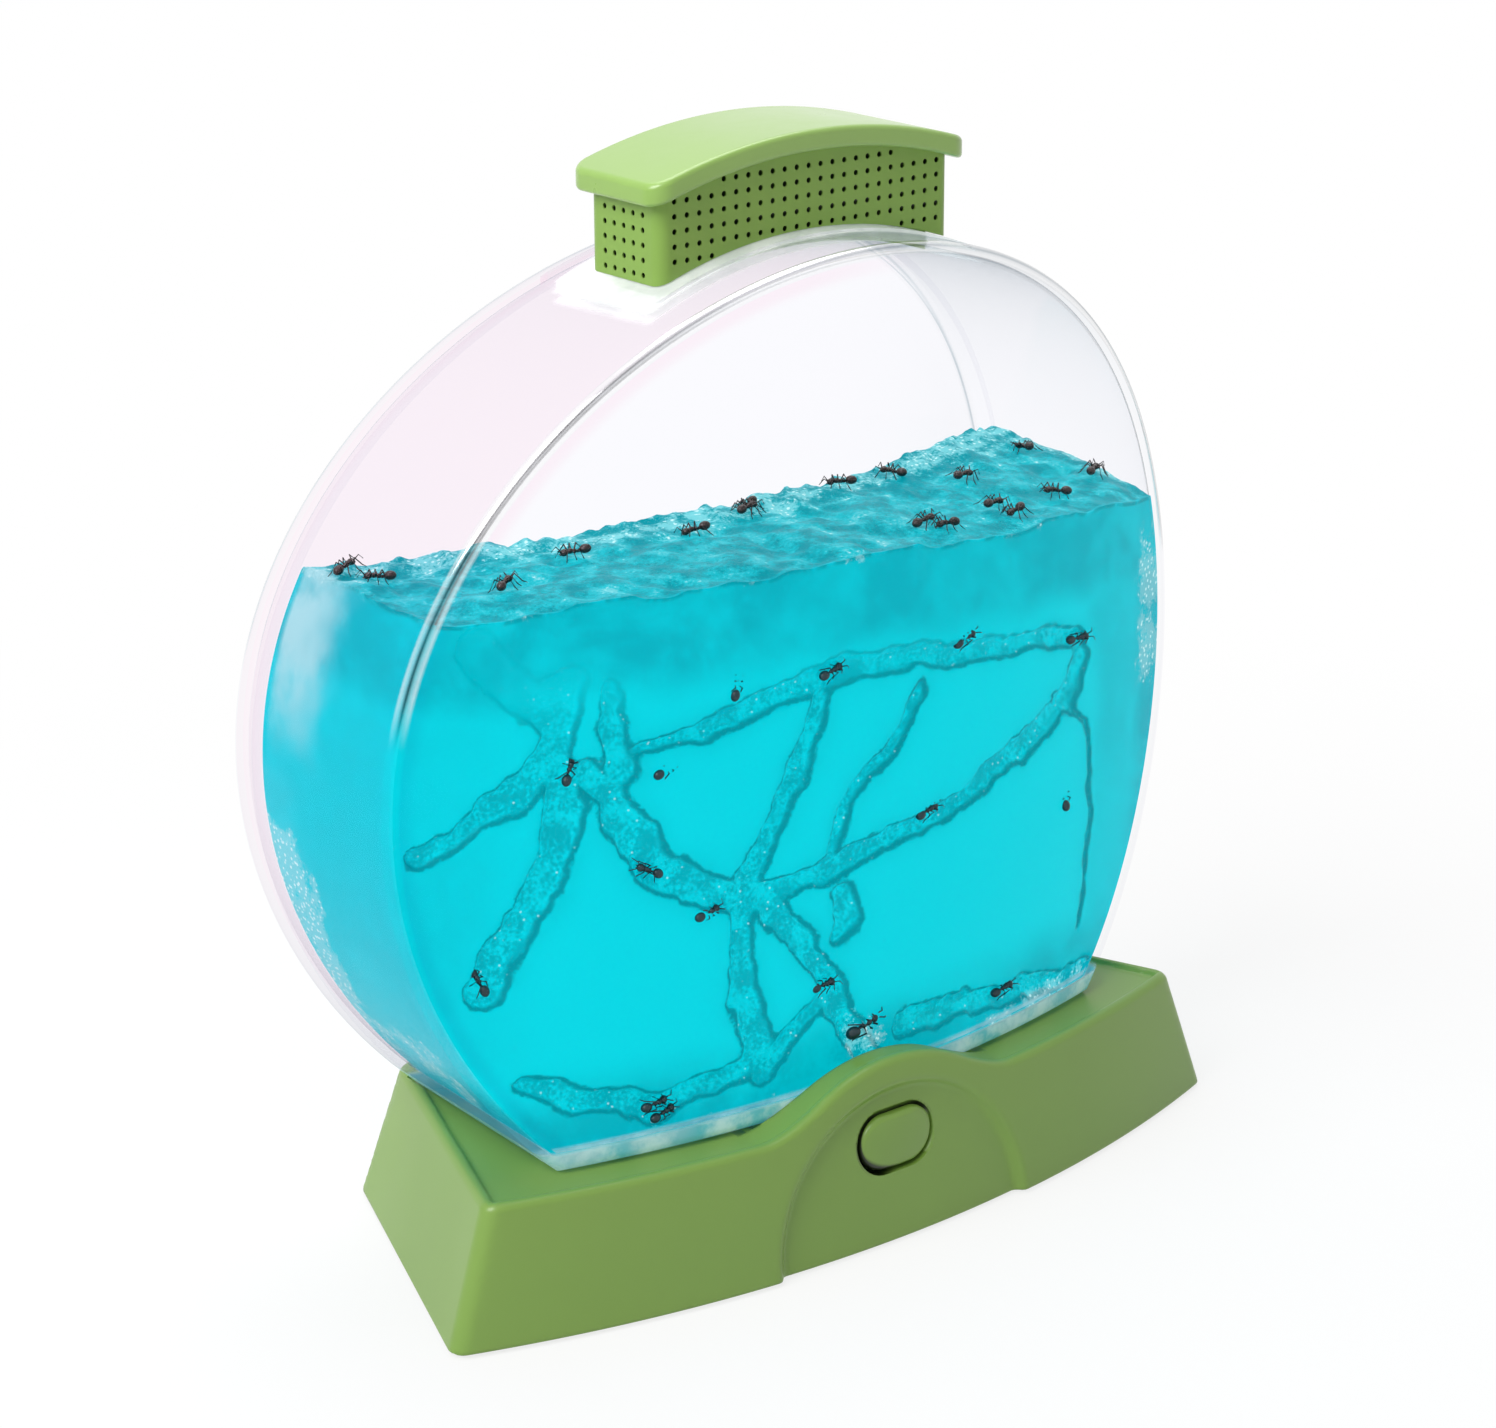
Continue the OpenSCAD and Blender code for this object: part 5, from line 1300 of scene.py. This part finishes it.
class HABITAT_OT_tank(bpy.types.Operator):
    """Builds the clear front shell with its neck, boss and foot, and the clear rear cover"""

    bl_idname = "habitat.tank"
    bl_label = "Clear Tank"

    def execute(self, context):
        look = context.scene.habitat_tank
        rim, inner = look.rim / MM, look.inner_rim / MM
        # the grey colours are painted tone: the walls' grey where they are seen edge on, and the rim's dark
        # line, stronger at the left
        wall = clear_plastic("clear_wall", tuple(look.tint), srgb(206, 212, 216))
        edge = clear_rim("clear_rim", srgb(252, 252, 253), srgb(92, 80, 80), srgb(196, 208, 214),
                         138 * MM, 152 * MM)
        rings = window_rings(front_face, rim, rim, True)
        rings += rim_rings(front_face, rim, 0, 0, 0, 1, True)
        rings += [tank_ring(between(front_face, seam_face, s, rim)) for s in np.linspace(0, 1, 9)[1:]]
        rings += [tank_ring(between(seam_face, front_face, s, 0, WALL + inner), WALL, FLOOR)
                  for s in np.linspace(0, 1, 9)]
        rings += rim_rings(front_face, inner, WALL, FLOOR, WALL, 1, False)[1:]
        rings += window_rings(lambda x: front_face(x) + WALL, WALL + inner, FLOOR + inner, False)
        neck = rounded_block("neck", VENT_W - 2 * NECK_MARGIN, VENT_D - 2 * NECK_MARGIN, NECK_CORNER,
                             TANK_CZ + 95, TANK_CZ + 130, VENT_Y)
        mesh = combine("tank_shell_clear", solid("tank_shell", *closed_shell(rings)),
                       [(neck_boss(), "UNION"), (foot_ring(), "UNION"), (neck, "DIFFERENCE")], "EXACT")
        shell = place_piece("tank_shell_clear", mesh, [wall, edge], "tank")
        mark_rims(mesh, rim, inner)
        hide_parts("tank_front_shell")

        rings = window_rings(rear_face, rim, rim, True)
        rings += rim_rings(rear_face, rim, 0, 0, 0, -1, True)
        rings += [tank_ring(between(rear_face, seam_face, s, -rim, SEAT)) for s in (0.5, 1)]
        rings += [tank_ring(lambda x: seam_face(x) + SEAT, WALL, FLOOR)]
        rings += rim_rings(rear_face, inner, WALL, FLOOR, -WALL, -1, False)
        rings += window_rings(lambda x: rear_face(x) - WALL, WALL + inner, FLOOR + inner, False)
        mesh = solid("tank_cover_clear", *closed_shell(rings))
        cover = place_piece("tank_cover_clear", mesh, [wall, edge], "tank")
        mark_rims(mesh, rim, inner)
        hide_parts("tank_rear_cover")
        return {"FINISHED"}


class HABITAT_OT_gel(bpy.types.Operator):
    """Builds the lumpy block of gel with its tunnels"""

    bl_idname = "habitat.gel"
    bl_label = "Gel"

    def execute(self, context):
        look = context.scene.habitat_gel
        mesh = build_gel(look)
        gel = place_piece("gel_with_tunnels", mesh, [gel_material(look)], "tank", 50)
        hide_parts("gel_block")
        return {"FINISHED"}


class HABITAT_OT_ants(bpy.types.Operator):
    """Sets ants on top of the gel and in its tunnels"""

    bl_idname = "habitat.ants"
    bl_label = "Ants"

    def execute(self, context):
        look = context.scene.habitat_ants
        seed = context.scene.habitat_gel.seed
        rng = np.random.default_rng(look.seed)
        cuticle = ant_material("ant_cuticle", tuple(look.colour))
        in_gel = ant_material("ant_in_gel", tuple(look.in_gel))
        walkers = [ant_mesh(f"ant_walking_{i}", rng, look.length, cuticle) for i in range(4)]
        crawlers = [ant_mesh(f"ant_crawling_{i}", rng, look.length, in_gel, 0.55) for i in range(3)]
        for i, (x, back, heading) in enumerate(TOP_ANTS):
            ant = self.new_ant(f"ant_top_{i + 1:02d}", walkers[i % 4])
            y = (front_face(x) + WALL + 3) * (1 - back) + (seam_face(x) - 3) * back
            z = float(gel_top(x, back, seed)) - 0.1
            angle = math.radians(heading)
            stand(ant, (x, y, z), (math.cos(angle), math.sin(angle), rng.uniform(-0.2, 0.2)),
                  (rng.uniform(-0.2, 0.2), rng.uniform(-0.2, 0.2), 1))
        places = [(place, 1.0) for place in TUNNEL_ANTS] + [(BIG_ANT, 1.35)]
        for i, ((x, z, heading), size) in enumerate(places):
            ant = self.new_ant(f"ant_tunnel_{i + 1:02d}", crawlers[i % 3])
            y = float(front_face(x)) + WALL + 2.1 * size
            angle = math.radians(heading)
            stand(ant, (x, y, z), (math.cos(angle), 0, math.sin(angle)), (0, -1, rng.uniform(0.1, 0.7)))
            ant.scale = (size, size, size)
        return {"FINISHED"}

    def new_ant(self, name, mesh):
        ant = new_object(name, mesh)
        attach(ant, "tank")
        return ant


class HABITAT_OT_works(bpy.types.Operator):
    """Finishes the cells, contacts, light strip, switch and leads inside the base"""

    bl_idname = "habitat.works"
    bl_label = "Inner Works"

    def execute(self, context):
        dress(cell_jacket("cell_jacket"), "battery_cells")
        dress(metal("nickel_plate", (0.62, 0.61, 0.58), 0.25), "battery_contacts", "contact_springs")
        dress(circuit_board("solder_mask", srgb(24, 96, 52)), "led_board", "switch_board")
        dress(resin("led_resin", srgb(240, 244, 238)), "leds")
        dress(moulded_plastic("black_plastic", (0.02, 0.02, 0.022), 0.45), "switch_body", "lead_black")
        dress(moulded_plastic("white_plastic", (0.68, 0.68, 0.66)), "switch_plunger", "lead_link")
        dress(moulded_plastic("red_insulation", srgb(176, 30, 24)), "lead_red")
        dress(resin("light_window", srgb(216, 236, 240)), "light_window")
        dress(metal("zinc_steel", (0.42, 0.43, 0.45), 0.32), "board_screws", "switch_screws")
        return {"FINISHED"}


class HABITAT_OT_underside(bpy.types.Operator):
    """Finishes the plate, battery door, screws and feet under the base"""

    bl_idname = "habitat.underside"
    bl_label = "Underside"

    def execute(self, context):
        look = context.scene.habitat_shell
        dress(textured_plastic("green_under", tuple(look.under)), "base_plate", "battery_door")
        dress(metal("base_screw_steel", (0.4, 0.41, 0.43), 0.3), "base_screws")
        dress(textured_plastic("foot_rubber", srgb(40, 40, 41), 0.75), "rubber_feet")
        return {"FINISHED"}


class HABITAT_OT_stage(bpy.types.Operator):
    """Sets the pale floor, the soft lamps and the camera"""

    bl_idname = "habitat.stage"
    bl_label = "Studio Stage"

    def execute(self, context):
        look = context.scene.habitat_stage
        self.add_floor()
        self.add_world(look.sky)
        self.add_lamp("key_lamp", look.key, 0.9, (-1.1, -0.15, 1.15))
        self.add_lamp("top_lamp", look.top, 1.1, (0.25, 0.35, 1.5))
        self.add_camera(look)
        context.scene.view_settings.view_transform = "Standard"
        return {"FINISHED"}

    def add_floor(self):
        mesh = bpy.data.meshes.new("floor")
        work = bmesh.new()
        bmesh.ops.create_circle(work, cap_ends=True, segments=96, radius=4)
        work.to_mesh(mesh)
        work.free()
        floor = new_object("floor", mesh)
        r = Recipe("pale_floor")
        share = r.product(r.seen(), r.span(r.vector("LENGTH", r.place), 0.16, 0.5, 0.8, 1.0))
        grey = r.blend(r.noise(6), (0.8, 0.8, 0.8), (0.84, 0.84, 0.84))
        paint = r.add("ShaderNodeBsdfDiffuse", {"Color": grey})
        glow = r.add("ShaderNodeEmission", {"Color": (1, 1, 1, 1), "Strength": 1.0})
        mesh.materials.append(r.finish(r.mix(share, paint, glow)))

    def add_world(self, sky):
        world = bpy.data.worlds.new("studio")
        bpy.context.scene.world = world
        r = Recipe("studio", world)
        strength = r.span(r.seen(), 0.0, 1.0, sky, 1.0)
        back = r.add("ShaderNodeBackground", {"Color": (1, 1, 1, 1), "Strength": strength})
        r.finish(back, "ShaderNodeOutputWorld")

    def add_lamp(self, name, power, size, place):
        lamp = bpy.data.lights.new(name, "AREA")
        lamp.energy = power
        lamp.size = size
        holder = new_object(name, lamp)
        holder.location = place
        aim = Vector((0, 0, 0.12)) - Vector(place)
        holder.rotation_euler = aim.to_track_quat("-Z", "Y").to_euler()

    def add_camera(self, look):
        camera = bpy.data.cameras.new("camera")
        camera.sensor_width = 36
        camera.sensor_fit = "HORIZONTAL"
        camera.lens = look.lens
        camera.clip_start = 0.02
        holder = new_object("camera", camera)
        azimuth, elevation = look.azimuth, look.elevation
        back = Vector((math.sin(azimuth) * math.cos(elevation), -math.cos(azimuth) * math.cos(elevation),
                       math.sin(elevation)))
        right = Vector((math.cos(azimuth), math.sin(azimuth), 0))
        turn = Matrix((right, back.cross(right), back)).transposed().to_4x4()
        holder.matrix_world = (Matrix.Translation(Vector(look.target) + back * look.distance) @ turn
                               @ Matrix.Rotation(look.roll, 4, "Z"))
        bpy.context.scene.camera = holder


class HABITAT_PT_panel(bpy.types.Panel):
    """Lists the habitat's pieces and their settings"""

    bl_idname = "HABITAT_PT_panel"
    bl_label = "Ant Habitat"
    bl_space_type = "VIEW_3D"
    bl_region_type = "UI"
    bl_category = "Habitat"

    def draw(self, context):
        layout = self.layout
        for group, operators in PANEL_ROWS:
            box = layout.box()
            settings = getattr(context.scene, group)
            for name in settings.__annotations__:
                box.prop(settings, name)
            for operator in operators:
                box.operator(operator.bl_idname)


PANEL_ROWS = (
    ("habitat_shell", (HABITAT_OT_base, HABITAT_OT_vent, HABITAT_OT_underside, HABITAT_OT_works)),
    ("habitat_tank", (HABITAT_OT_tank,)),
    ("habitat_gel", (HABITAT_OT_gel,)),
    ("habitat_ants", (HABITAT_OT_ants,)),
    ("habitat_stage", (HABITAT_OT_stage,)),
)
SETTINGS = {
    "habitat_shell": ShellSettings,
    "habitat_tank": TankSettings,
    "habitat_gel": GelSettings,
    "habitat_ants": AntSettings,
    "habitat_stage": StageSettings,
}
OPERATORS = (HABITAT_OT_base, HABITAT_OT_vent, HABITAT_OT_tank, HABITAT_OT_gel, HABITAT_OT_ants,
             HABITAT_OT_works, HABITAT_OT_underside, HABITAT_OT_stage)


def register():
    """Registers the settings, operators and panel."""
    for name, group in SETTINGS.items():
        bpy.utils.register_class(group)
        setattr(bpy.types.Scene, name, PointerProperty(type=group))
    for operator in OPERATORS:
        bpy.utils.register_class(operator)
    bpy.utils.register_class(HABITAT_PT_panel)


def unregister():
    """Takes the panel, operators and settings out again."""
    bpy.utils.unregister_class(HABITAT_PT_panel)
    for operator in reversed(OPERATORS):
        bpy.utils.unregister_class(operator)
    for name, group in SETTINGS.items():
        delattr(bpy.types.Scene, name)
        bpy.utils.unregister_class(group)


def main():
    """Builds the whole scene in order."""
    register()
    for operator in OPERATORS:
        group, action = operator.bl_idname.split(".")
        getattr(getattr(bpy.ops, group), action)()


if __name__ == "__main__":
    main()
